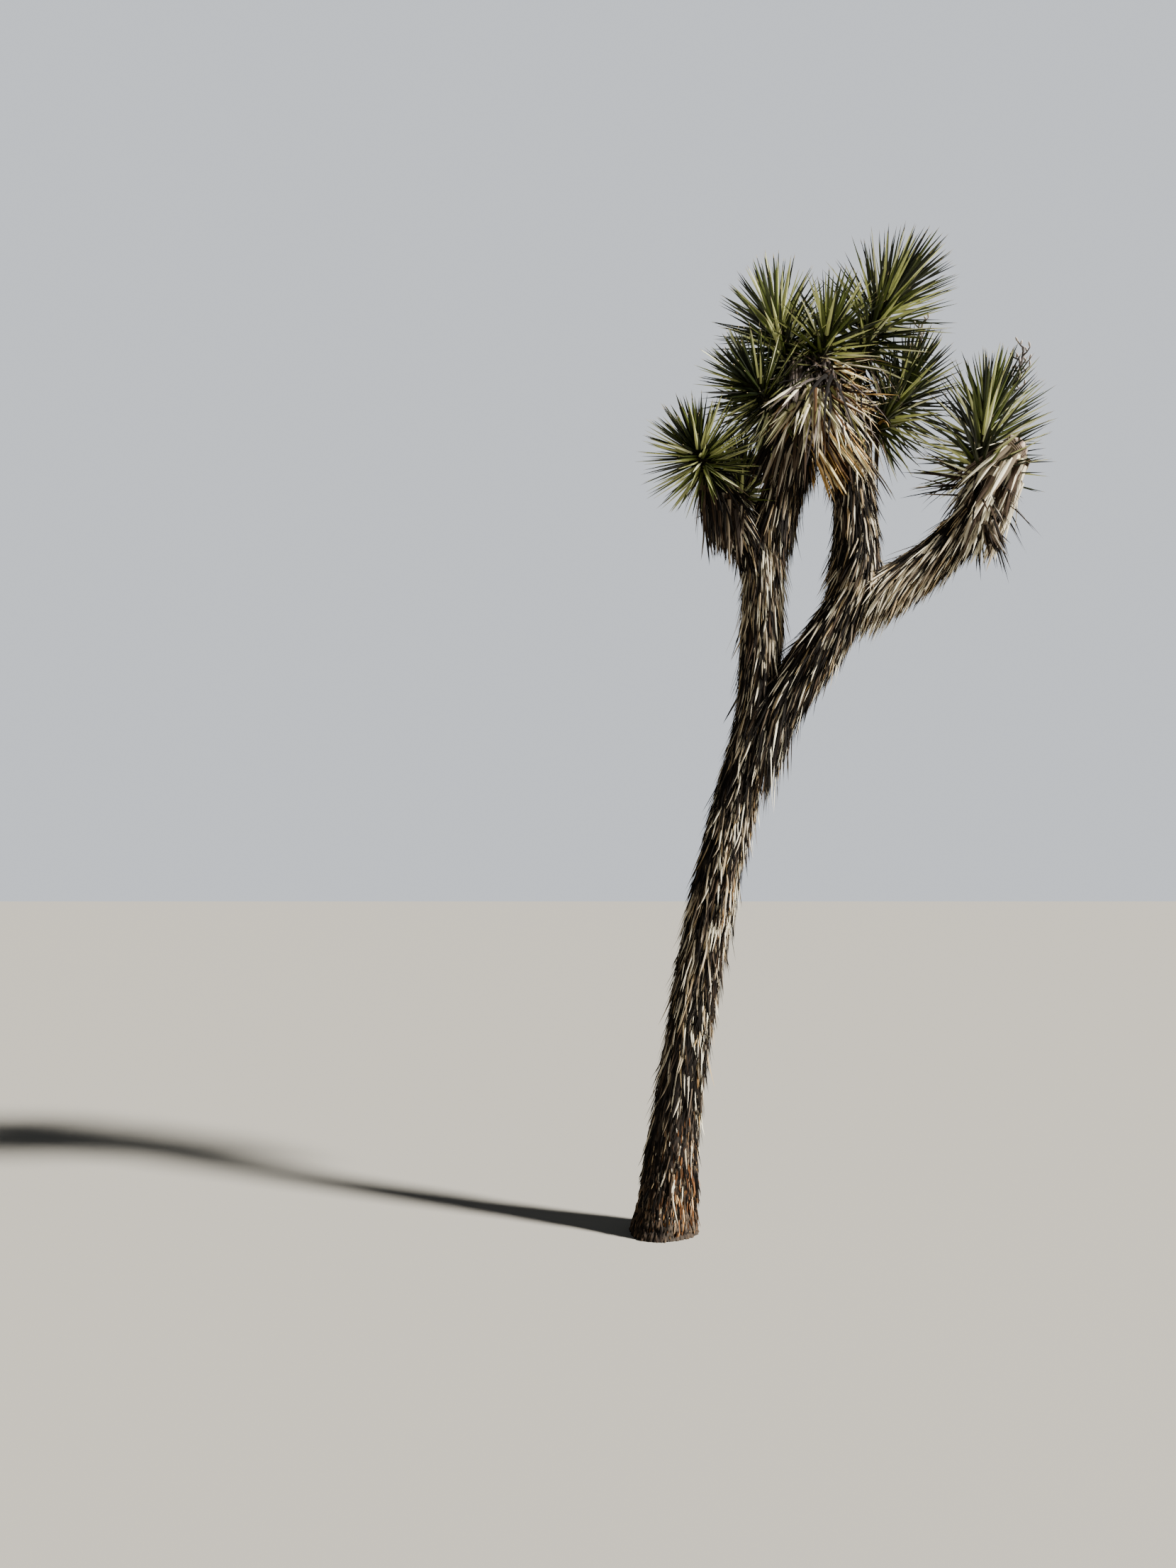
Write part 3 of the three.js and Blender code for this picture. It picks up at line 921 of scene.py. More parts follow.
class Centreline:
    """The curve from a foot to a tip, by how far its middle stands off the straight line."""

    def __init__(self, foot: Point, tip: Point, bow: Point) -> None:
        """Works out the curve's control point from its ends and the offset of its middle."""
        self.foot, self.tip = np.array(foot), np.array(tip)
        self.control = (self.foot + self.tip) / 2 + 2 * np.array(bow)

    def points(self, share: np.ndarray | float) -> np.ndarray:
        """Finds the points at shares of the curve.

        Args:
            share: The shares, from 0 at the foot to 1 at the tip.

        Returns:
            The points.
        """
        share = np.asarray(share, float)[..., None]
        rest = 1 - share
        return rest**2 * self.foot + 2 * rest * share * self.control + share**2 * self.tip

    def axes(self, share: np.ndarray) -> tuple[np.ndarray, np.ndarray, np.ndarray]:
        """Finds the directions along the curve and across it.

        Args:
            share: Shares of the curve.

        Returns:
            The direction along the curve and two across it, at each share.
        """
        share = np.clip(np.asarray(share, float), 0, 1)[..., None]
        up = (1 - share) * (self.control - self.foot) + share * (self.tip - self.control)
        up /= np.linalg.norm(up, axis=-1, keepdims=True)
        across = np.cross([0.0, 1.0, 0.0], up)
        across /= np.linalg.norm(across, axis=-1, keepdims=True)
        return up, across, np.cross(up, across)

    def outward(self, share: np.ndarray, angle: np.ndarray) -> np.ndarray:
        """Returns the directions away from the curve at shares of it, at angles round it."""
        _, across, back = self.axes(share)
        return np.cos(angle)[..., None] * across[:, None] + np.sin(angle)[..., None] * back[:, None]

    def length(self) -> float:
        """Returns the curve's length."""
        steps = np.diff(self.points(np.linspace(0, 1, 65)), axis=0)
        return float(np.linalg.norm(steps, axis=1).sum())


def smooth(low: float, high: float, value: np.ndarray) -> np.ndarray:
    """Returns 0 below low, 1 above high and a smooth step between them."""
    share = np.clip((value - low) / (high - low), 0, 1)
    return share * share * (3 - 2 * share)


def ring(sides: int) -> np.ndarray:
    """Returns the angles of a ring's corners."""
    return np.arange(sides) * 2 * math.pi / sides


def tube_faces(rows: int, sides: int) -> list[list[int]]:
    """Joins rings of corners, row by row.

    Args:
        rows: How many rings there are.
        sides: The corners of a ring.

    Returns:
        The faces between them.
    """
    lower = np.arange((rows - 1) * sides).reshape(-1, sides)
    beside = np.roll(lower, -1, axis=1)
    return np.stack([lower, beside, beside + sides, lower + sides], -1).reshape(-1, 4).tolist()


def dome(middle: np.ndarray, up: np.ndarray, outward: np.ndarray, end: np.ndarray | float) -> np.ndarray:
    """Returns the rings that round off a tube's end, by its middle, its directions and its radius there."""
    return np.array([middle + up * end * rise + outward * end * wide for rise, wide in DOME])


def over_ends(values: np.ndarray) -> np.ndarray:
    """Returns ring values carried over the dome and to the middle of both caps."""
    whole = np.concatenate([values, *[values[-1:]] * len(DOME)])
    return np.concatenate([whole.reshape(-1, *values.shape[2:]), values[0, :1], values[-1, :1]])


def cut_level(mesh: bpy.types.Mesh) -> None:
    """Cuts a mesh flat at ground level and closes the cut.

    Args:
        mesh: The mesh to cut.
    """
    work = bmesh.new()
    work.from_mesh(mesh)
    geometry = work.verts[:] + work.edges[:] + work.faces[:]
    plane = {"plane_co": (0, 0, LEVEL_GROUND), "plane_no": (0, 0, 1)}
    cut = bmesh.ops.bisect_plane(work, geom=geometry, clear_inner=True, **plane)
    rim = [part for part in cut["geom_cut"] if isinstance(part, bmesh.types.BMEdge)]
    bmesh.ops.edgeloop_fill(work, edges=rim)
    work.to_mesh(mesh)
    work.free()


@dataclass(frozen=True)
class Cells:
    """The cells of a pattern round a limb: their number round it, and their height in metres."""

    around: int
    tall: float


@dataclass(frozen=True)
class Weave:
    """Random patterns that close on themselves round a limb. Turn is from 0 to 1 and height in metres."""

    seed: int
    turn: np.ndarray
    height: np.ndarray

    CRACK = 2.2

    def noise(self, cells: Cells) -> np.ndarray:
        """Draws smooth noise.

        Args:
            cells: Its cells.

        Returns:
            The noise at each place, from -1 to 1.
        """
        rows = int(self.height.max() / cells.tall) + 3
        grid = np.random.default_rng(self.seed + cells.around).uniform(-1, 1, (rows, cells.around))
        x, y = self.turn * cells.around, (self.height - self.height.min()) / cells.tall
        column, row = np.floor(x).astype(int), np.floor(y).astype(int)
        beside = (column + 1) % cells.around
        column = column % cells.around
        fx, fy = smooth(0, 1, x - np.floor(x)), smooth(0, 1, y - row)
        low, high = (
            grid[line % rows, column] * (1 - fx) + grid[line % rows, beside] * fx for line in (row, row + 1)
        )
        return low * (1 - fy) + high * fy

    def plates(self, cells: Cells) -> np.ndarray:
        """Draws long plates with cracks between them.

        Args:
            cells: The plates.

        Returns:
            0 in a crack, rising towards 1 in the middle of a plate.
        """
        rows, around = int(self.height.max() / cells.tall) + 5, cells.around
        draw = np.random.default_rng(self.seed + 7 * around).uniform(0.1, 0.9, (rows, around, 2))
        x, y = self.turn * around, (self.height - self.height.min()) / cells.tall + 1
        column, row = np.floor(x).astype(int), np.floor(y).astype(int)
        nearest = second = np.full(x.shape, np.inf)
        for right in (-1, 0, 1):
            for above in (-1, 0, 1):
                seat = draw[(row + above) % rows, (column + right) % around]
                away = np.hypot(column + right + seat[..., 0] - x, row + above + seat[..., 1] - y)
                second = np.minimum(second, np.maximum(nearest, away))
                nearest = np.minimum(nearest, away)
        return np.clip((second - nearest) * self.CRACK, 0, 1)


@dataclass
class Branch:
    """A part that grows along a curve, from a share of the length of the limb that carries it."""

    name: str
    on: str
    at: float
    tip: Point
    bow: Point
    carrier: Limb | None = field(init=False)
    curve: Centreline = field(init=False)

    def grow(self, limbs: dict[str, Limb]) -> None:
        """Sets the branch on its carrier, or the trunk in the ground.

        Args:
            limbs: The limbs grown so far, by name.
        """
        self.carrier = limbs.get(self.on)
        foot = self.carrier.curve.points(self.at) if self.carrier else TRUNK_FOOT
        self.curve = Centreline(foot, self.tip, self.bow)


@dataclass
class Limb(Branch):
    """One tapering limb: its core and its coat. Rows of thick and of the coat's paleness are spaced evenly
    from foot to tip.

    Thick is the radius over the coat. The paleness row leans the coat to pale leaves, and to the darkest
    below
    0: partly the paler young dead leaves near the heads, partly painted light and shade, with darker rows on
    limbs and parts of limbs that lie in the crown's shadow and paler rows on lit ones.
    Density is in leaves to the square metre, and so is the density of the golden straw of painted sunlight,
    a second coat laid only on the +X side, the key light's side. Stray is how far the wildest leaves stand
    off. A fringe lengthens the leaves of one end.
    """

    thick: tuple[float, ...]
    lobes: float = 0.0
    sides: int = 96
    step: float = 0.010
    bare_below: float = -1.0
    foot_fringe: float = 0.0
    tip_fringe: float = 0.0
    fresh: tuple[float, ...] = (0.35, 0.6)
    density: float = 5000.0
    short: float = 0.165
    long: float = 0.29
    sway: float = 0.13
    curl: float = 0.06
    stray: float = 0.34
    sunny: float = 0.0

    COAT_DEPTH = 0.020
    LEAST_THATCH = 0.34
    LOBES_TO = 1 / 6
    LOBE_COUNT = 3
    FINE_STEP = 0.35
    DEPTH_STEPS = 160
    COAT_FROM = -0.60
    COAT_TO = 0.45
    RAGGED_BY = 0.15
    WAVY_BY = 0.012
    PLATE_SHARE = 0.42
    SPLIT_SHARE = 0.38
    FIBRE_SHARE = 0.2
    BARK_DEEP = 0.024
    BARK_SUNK = 0.016
    LUMP = 0.004
    BARE_LUMP = 0.005
    FIBRE_DEEP = 0.002
    DULLED = 0.45
    STRAW_LESS = 0.6
    OFF_GROUND = (0.004, 0.016)
    OFF_JOINT = (0.0, 0.025)
    OWN_FALL = (0.1, 0.5)
    PATCHY = (-0.5, 0.6)
    # Where round a limb, by its outward +X part, the golden straw of painted sunlight starts and is full
    SUNNY_SIDE = (0.0, 0.7)
    # Where round the foot, by its outward +X part, the orange-brown flakes of painted sunlight start and are
    # full
    WARM_SIDE = (-0.25, 0.4)
    FOOT_FRINGE = (0.0, 0.42)
    TIP_FRINGE = (0.7, 1.0)
    RAGGED = Cells(7, 0.2)
    WAVES = Cells(9, 0.07)
    PLATES = Cells(30, 0.10)
    SPLITS = Cells(84, 0.045)
    FIBRES = Cells(160, 0.05)
    LUMPS = Cells(6, 0.16)
    PATCHES = Cells(5, 0.22)

    def along(self, values: tuple[float, ...], share: np.ndarray) -> np.ndarray:
        """Returns evenly spaced values at shares of the length."""
        return np.interp(share, np.linspace(0, 1, len(values)), values)

    def depth(self, places: np.ndarray) -> np.ndarray:
        """Measures how deep places lie inside this limb's coat.

        Args:
            places: The places.

        Returns:
            Their depth in metres, below 0 outside the coat.
        """
        share = np.linspace(0, 1, self.DEPTH_STEPS)
        away = np.linalg.norm(places[..., None, :] - self.curve.points(share), axis=-1)
        return (self.along(self.thick, share) - away).max(axis=-1)

    def radius(self, share: np.ndarray, angle: np.ndarray) -> np.ndarray:
        """Returns the radius over the coat at shares of the length and angles round the limb."""
        fade = np.clip(1 - share / self.LOBES_TO, 0, None)
        return self.along(self.thick, share) * (1 + self.lobes * fade * np.cos(self.LOBE_COUNT * angle))

    def shares(self) -> np.ndarray:
        """Spaces the core's rings, closest where the bark is bare.

        Returns:
            The shares of the length that have a ring.
        """
        length = self.curve.length()
        if self.bare_below < 0:
            return np.linspace(0, 1, int(length / self.step))
        bare = min(self.bare_below / length, 0.9)
        low = np.linspace(0, bare, int(bare * length / (self.step * self.FINE_STEP)), endpoint=False)
        return np.concatenate([low, np.linspace(bare, 1, int((1 - bare) * length / self.step))])

    def fall(self, share: np.ndarray, up: np.ndarray) -> np.ndarray:
        """Finds the way that the coat hangs: down this limb, and down its carrier close to the joint.

        Args:
            share: Shares of the length.
            up: The direction of the limb at each.

        Returns:
            The direction of the fall at each.
        """
        if not self.carrier:
            return -up
        own = smooth(*self.OWN_FALL, share)[:, None]
        return -up * own - self.carrier.curve.axes(np.array([self.at]))[0] * (1 - own)

    def core(self, finish: BarkFinish, seed: int) -> bpy.types.Object:
        """Builds the core, with the relief of the bark and of the coat's layers.

        Args:
            finish: The bark's finish.
            seed: Where its random patterns start.

        Returns:
            The core as a piece.
        """
        share, sides = self.shares(), self.sides
        share_grid, angle_grid = np.meshgrid(share, ring(sides), indexing="ij")
        weave = Weave(seed, angle_grid / (2 * math.pi), share_grid * self.curve.length())
        shag = np.ones_like(share_grid)
        if self.bare_below > 0:
            ragged = weave.height + weave.noise(self.RAGGED) * self.RAGGED_BY
            shag = smooth(self.bare_below + self.COAT_FROM, self.bare_below + self.COAT_TO, ragged)
        bare = 1 - shag
        wavy = replace(weave, turn=weave.turn + self.WAVY_BY * weave.noise(self.WAVES))
        fibres, lumps = weave.noise(self.FIBRES), weave.noise(self.LUMPS)
        cracked = self.PLATE_SHARE * wavy.plates(self.PLATES) + self.SPLIT_SHARE * wavy.plates(self.SPLITS)
        relief = np.clip(cracked + self.FIBRE_SHARE * (fibres * 0.5 + 0.5), 0, 1)
        lumpy = lumps * (self.LUMP + self.BARE_LUMP * bare)
        stand = bare * (relief * self.BARK_DEEP - self.BARK_SUNK) + lumpy
        stand += shag * (fibres * self.FIBRE_DEEP - self.COAT_DEPTH)
        radius = self.radius(share_grid, angle_grid) + stand

        up, _, _ = self.curve.axes(share)
        outward = self.curve.outward(share, angle_grid)
        corners = self.curve.points(share)[:, None] + outward * radius[..., None]
        off_ground = smooth(*self.OFF_GROUND, corners[..., 2])
        patches = smooth(*self.PATCHY, weave.noise(self.PATCHES))
        # Painted sunlight: golden straw toward +X, the key light's side, in random patches and thinner up
        # carried limbs
        fewer = 1 - self.STRAW_LESS * share_grid * bool(self.on)
        painted_sunlight_straws = smooth(*self.SUNNY_SIDE, outward[..., 0]) * patches * fewer
        shag = np.maximum(shag, self.LEAST_THATCH) * off_ground
        if self.carrier:
            shag = shag * (1 - smooth(*self.OFF_JOINT, self.carrier.depth(corners)))
        fringe_foot = self.foot_fringe * (1 - smooth(*self.FOOT_FRINGE, share_grid))
        fringe_tip = self.tip_fringe * smooth(*self.TIP_FRINGE, share_grid)

        end = self.thick[-1] - self.COAT_DEPTH
        corners = np.concatenate([corners, dome(self.curve.tip, up[-1], outward[-1], end)]).reshape(-1, 3)
        rows, foot_at = len(share) + len(DOME), len(corners)
        corners = np.concatenate([corners, [self.curve.foot, self.curve.tip + up[-1] * end * DOME_TOP]])
        last = (rows - 1) * sides
        faces = tube_faces(rows, sides)
        faces += [((c + 1) % sides, c, foot_at) for c in range(sides)]
        faces += [(last + c, last + (c + 1) % sides, foot_at + 1) for c in range(sides)]
        piece = cast(f"{self.name}_core", corners.tolist(), faces, finish)
        marks = {
            "relief": relief * (self.DULLED + (1 - self.DULLED) * bare),
            "thatch": shag,
            "sunny_straw": shag * painted_sunlight_straws,
            # Painted sunlight: orange-brown flakes on the bare foot toward +X
            "sunny_flakes": bare * off_ground * smooth(*self.WARM_SIDE, outward[..., 0]),
            "flakes": bare * off_ground,
            "fringe": np.clip(fringe_foot + fringe_tip, 0, 1),
            "fresh": self.along(self.fresh, share_grid),
            "down": np.broadcast_to(self.fall(share, up)[:, None], outward.shape),
            "outward": outward,
        }
        for name, values in marks.items():
            store(piece.data, name, over_ends(values))
        if not self.carrier:
            cut_level(piece.data)
        piece.data.shade_smooth()
        return piece


# The rows of paleness run low on limbs that lie in the crown's shadow, such as left_arm, and high on lit
# ones: painted shade and light, besides the paler young leaves near the heads
LIMBS = (
    Limb(
        "trunk", "", 0.0, (0.458, 0.062, 2.330), (-0.058, 0.0, 0.0),
        thick=(
            0.158, 0.130, 0.119, 0.114, 0.110, 0.108, 0.109, 0.111,
            0.113, 0.113, 0.110, 0.108, 0.106, 0.104, 0.102,
        ),
        lobes=0.06, sides=208, step=0.012, bare_below=0.50, fresh=(0.1, 0.2, 0.35, 0.4, 0.1),
        density=4600.0, short=0.160, sway=0.22, curl=0.16, stray=0.20, sunny=2600.0,
    ),
    Limb(
        "right_bough", "trunk", 0.93, (0.905, -0.030, 2.860), (0.010, 0.0, -0.010),
        thick=(0.100, 0.106, 0.108, 0.106), foot_fringe=1.0, long=0.31, fresh=(-0.3, -0.1, 0.4),
        sunny=1300.0,
    ),
    Limb(
        "left_bough", "trunk", 0.97, (0.489, 0.120, 3.100), (0.006, 0.010, 0.0),
        thick=(0.100, 0.104, 0.107, 0.108), fresh=(0.05, 0.1, 0.9, 0.8), sunny=900.0,
    ),
    Limb(
        "left_fork", "left_bough", 0.97, (0.668, 0.022, 3.670), (0.010, 0.005, -0.010),
        thick=(0.106, 0.108, 0.104, 0.088), tip_fringe=1.0, fresh=(0.45, 0.1, -0.4, -0.6),
    ),
    Limb(
        "left_arm", "left_bough", 0.93, (0.230, 0.004, 3.350), (-0.018, 0.0, -0.014),
        thick=(0.086, 0.092, 0.088, 0.070), tip_fringe=0.9, fresh=(-0.2, -0.8, -1.2),
    ),
    Limb(
        "centre_limb", "right_bough", 0.95, (0.874, 0.118, 3.620), (0.014, -0.010, 0.0),
        thick=(0.104, 0.110, 0.109, 0.104, 0.092), tip_fringe=0.8, fresh=(0.45, 0.5, 0.55, 0.8),
    ),
    Limb(
        "right_limb", "right_bough", 0.90, (1.530, -0.114, 3.368), (0.058, 0.0, -0.080),
        thick=(0.092, 0.096, 0.100, 0.096, 0.084), tip_fringe=0.35, fresh=(0.95, 0.85, 0.6, 0.6),
    ),
)


# Heads


class Shell:
    """Closed tubes gathered into one mesh."""

    def __init__(self) -> None:
        """Starts with nothing."""
        self.corners: list[Point] = []
        self.faces: list[list[int]] = []
        self.finishes: list[int] = []

    def close(self, rings: np.ndarray, finish: int = 0) -> None:
        """Adds one tube with a flat cap at both ends.

        Args:
            rings: Its corners: ring by side by coordinate.
            finish: The place of its material.
        """
        rows, sides, _ = rings.shape
        base, top = len(self.corners), (rows - 1) * sides
        faces = [*tube_faces(rows, sides), range(sides)[::-1], range(top, top + sides)]
        self.corners += rings.reshape(-1, 3).tolist()
        self.faces += [[base + corner for corner in face] for face in faces]
        self.finishes += [finish] * len(faces)

    def add(self, curve: Centreline, radii: tuple[float, ...], sides: int, finish: int = 0) -> None:
        """Adds one tube along a curve.

        Args:
            curve: Its centreline.
            radii: Its radius from foot to tip.
            sides: Its sides.
            finish: The place of its material.
        """
        share = np.linspace(0, 1, len(radii))
        outward = curve.outward(share, ring(sides))
        self.close(curve.points(share)[:, None] + outward * np.array(radii)[:, None, None], finish)

    def piece(self, name: str, *finishes: Finish) -> bpy.types.Object:
        """Makes the tubes a piece.

        Args:
            name: The piece's name.
            finishes: Its finishes in order.

        Returns:
            The piece.
        """
        made = cast(name, self.corners, self.faces, *finishes)
        made.data.polygons.foreach_set("material_index", self.finishes)
        made.data.shade_smooth()
        return made


@dataclass
class Head(Branch):
    """One mass: a stem set in a limb, with green leaves in a spiral and dead ones round their collar.

    Leafy is the share of the stem, from its tip, that carries green leaves. Spread is their tilt from the
    stem in degrees, from the youngest to the oldest. Leaves and dead are the solid's numbers of leaves.
    """

    radius: float
    leafy: float
    leaves: int
    length: float
    spread: tuple[float, float]
    dead: int
    root_out: float = 0.375
    stem_to: float = 1.0
    taper: tuple[float, ...] = (1.0, 0.94, 0.8, 0.5)

    FINER = 2.9
    DEAD_FINER = 11
    DEAD_SHORT = 0.82
    DEAD_SPREAD = (105, 155)
    STEM_RINGS = 40
    STEM_SIDES = 24
    STEM_WIDE = 0.62
    KNOB = 0.003
    KNOBS_ROUND = 8
    KNOBS_ALONG = 60

    def spiral(self, seed: int, tilts: tuple[float, float], wander: float, **rest: float) -> Spiral:
        """Gives the sizes of a spiral on this stem.

        Args:
            seed: Where its random draws start.
            tilts: The leaves' tilt in degrees, at the top and at the bottom.
            wander: How far a leaf strays from its place, in degrees.
            rest: The other sizes.

        Returns:
            The sizes.
        """
        ends = (tuple(point) for point in (self.curve.foot, self.curve.control, self.curve.tip))
        turns = (math.radians(turn) for turn in (*tilts, wander))
        return Spiral(*ends, self.radius * self.root_out, *turns, seed, **rest)

    def green(self, seed: int) -> Spiral:
        """Gives the sizes of the green leaves' spiral.

        Args:
            seed: Where its random draws start.

        Returns:
            The sizes.
        """
        return self.spiral(
            seed,
            self.spread,
            wander=8,
            top_share=1.0,
            low_share=1.0 - self.leafy,
            leaves=round(self.leaves * self.FINER),
            length=self.length,
            uneven=0.08,
            droop=0.02,
            curl=0.035,
            ageing=0.15,
        )

    def collar(self, seed: int) -> Spiral:
        """Gives the sizes of the spiral of dead leaves that hang round the foot of the green ones.

        Args:
            seed: Where its random draws start.

        Returns:
            The sizes.
        """
        low = 1.0 - self.leafy
        return self.spiral(
            seed,
            self.DEAD_SPREAD,
            wander=16,
            top_share=low + 0.08,
            low_share=low - 0.30,
            leaves=self.dead * self.DEAD_FINER,
            length=self.length * self.DEAD_SHORT,
            opening=0.6,
            droop=0.28,
            curl=0.10,
            hug=0.15,
        )

    def stem(self, finish: Finish) -> bpy.types.Object:
        """Builds the stem that the leaves stand on, knobbly with their bases.

        Args:
            finish: The stem's finish.

        Returns:
            The stem as a piece.
        """
        share = np.linspace(0, self.stem_to, self.STEM_RINGS)
        share_grid, angle_grid = np.meshgrid(share, ring(self.STEM_SIDES), indexing="ij")
        knobs = np.cos(angle_grid * self.KNOBS_ROUND + share_grid * self.KNOBS_ALONG)
        plain = np.interp(share_grid, np.linspace(0, 1, len(self.taper)), self.taper) * self.radius
        radius = plain * self.STEM_WIDE + knobs * self.KNOB
        outward = self.curve.outward(share, angle_grid)
        rings = self.curve.points(share)[:, None] + outward * radius[..., None]
        middle, up = self.curve.points(self.stem_to), self.curve.axes(share)[0][-1]
        shell = Shell()
        shell.close(np.concatenate([rings, dome(middle, up, outward[-1], radius[-1][:, None])]))
        piece = shell.piece(f"{self.name}_stem", finish)
        relief = 0.5 + 0.4 * knobs
        store(piece.data, "relief", np.concatenate([relief, *[relief[-1:]] * len(DOME)]).ravel())
        return piece


HEADS = (
    Head(
        "head_far_left", "left_arm", 0.92, (0.150, -0.085, 3.462), (-0.006, 0, 0.008),
        0.060, 0.72, 70, 0.268, (8, 118), 6,
    ),
    Head(
        "head_inner_left", "left_arm", 0.45, (0.392, 0.190, 3.450), (0.010, 0, -0.006),
        0.054, 0.6, 46, 0.232, (8, 108), 4,
    ),
    Head(
        "head_left", "left_fork", 0.87, (0.386, -0.130, 3.762), (0, 0, -0.020),
        0.062, 0.62, 66, 0.274, (8, 116), 11,
    ),
    Head(
        "head_upper_left", "left_fork", 0.98, (0.542, 0.100, 4.176), (-0.014, 0, 0),
        0.062, 0.58, 78, 0.308, (6, 110), 8,
    ),
    Head(
        "head_middle", "left_fork", 0.97, (0.777, -0.060, 4.040), (0, -0.010, 0),
        0.058, 0.5, 54, 0.282, (8, 112), 12,
    ),
    Head(
        "head_top", "centre_limb", 0.97, (1.112, 0.050, 4.276), (-0.034, -0.010, 0.052),
        0.060, 0.6, 86, 0.338, (8, 100), 6,
    ),
    Head(
        "head_right", "centre_limb", 0.88, (1.205, 0.200, 3.915), (0.030, 0.010, -0.030),
        0.060, 0.72, 78, 0.290, (8, 104), 7,
    ),
    Head(
        "head_back", "centre_limb", 0.96, (0.800, 0.430, 3.950), (0, 0.020, -0.020),
        0.060, 0.6, 56, 0.250, (8, 114), 8,
    ),
    Head(
        "head_back_left", "left_fork", 0.90, (0.490, 0.400, 3.880), (0, 0.020, -0.020),
        0.056, 0.6, 50, 0.246, (8, 114), 5,
    ),
    Head(
        "head_far_right", "right_limb", 0.77, (1.514, 0.0, 3.706), (-0.020, 0, 0),
        0.056, 0.74, 82, 0.322, (8, 92), 8,
    ),
)
PALE_COLLARS = ("head_right", "head_back")
# Heads dealt the paler green: painted light
PAINTED_LIT_HEADS = ("head_far_left", "head_inner_left")


@dataclass
class DeadSpray(Head):
    """A mass of dead leaves only, that hang or curl over from their stem. Dead is their number here."""

    top_share: float = 0.8
    wander: float = 20.0
    broad: float = 1.0
    droop: float = 0.6
    curl: float = 0.12
    hug: float = 0.0

    def hanging(self, seed: int) -> Spiral:
        """Gives the sizes of the spiral of hanging leaves.

        Args:
            seed: Where its random draws start.

        Returns:
            The sizes.
        """
        return self.spiral(
            seed,
            self.spread,
            self.wander,
            top_share=self.top_share,
            low_share=1.0 - self.leafy,
            leaves=self.dead,
            length=self.length,
            broad=self.broad,
            droop=self.droop,
            curl=self.curl,
            hug=self.hug,
        )


HANGING_SKIRT = DeadSpray(
    "hanging_skirt", "left_fork", 0.93, (0.778, -0.200, 3.796), (0, -0.030, 0),
    0.072, 0.85, 0, 0.258, (104, 140), 104,
    root_out=0.8, stem_to=0.75, wander=24.0, broad=1.1, droop=0.45, curl=0.14,
)
DEAD_END = DeadSpray(
    "dead_end", "right_limb", 0.98, (1.580, -0.134, 3.442), (0, 0, 0.012),
    0.094, 0.9, 0, 0.2835, (150, 168), 120,
    root_out=0.56, taper=(1.0, 1.0, 1.04, 0.98), wander=8.0, broad=1.5, droop=0.08, hug=0.18,
)


# Loose straw and stalks

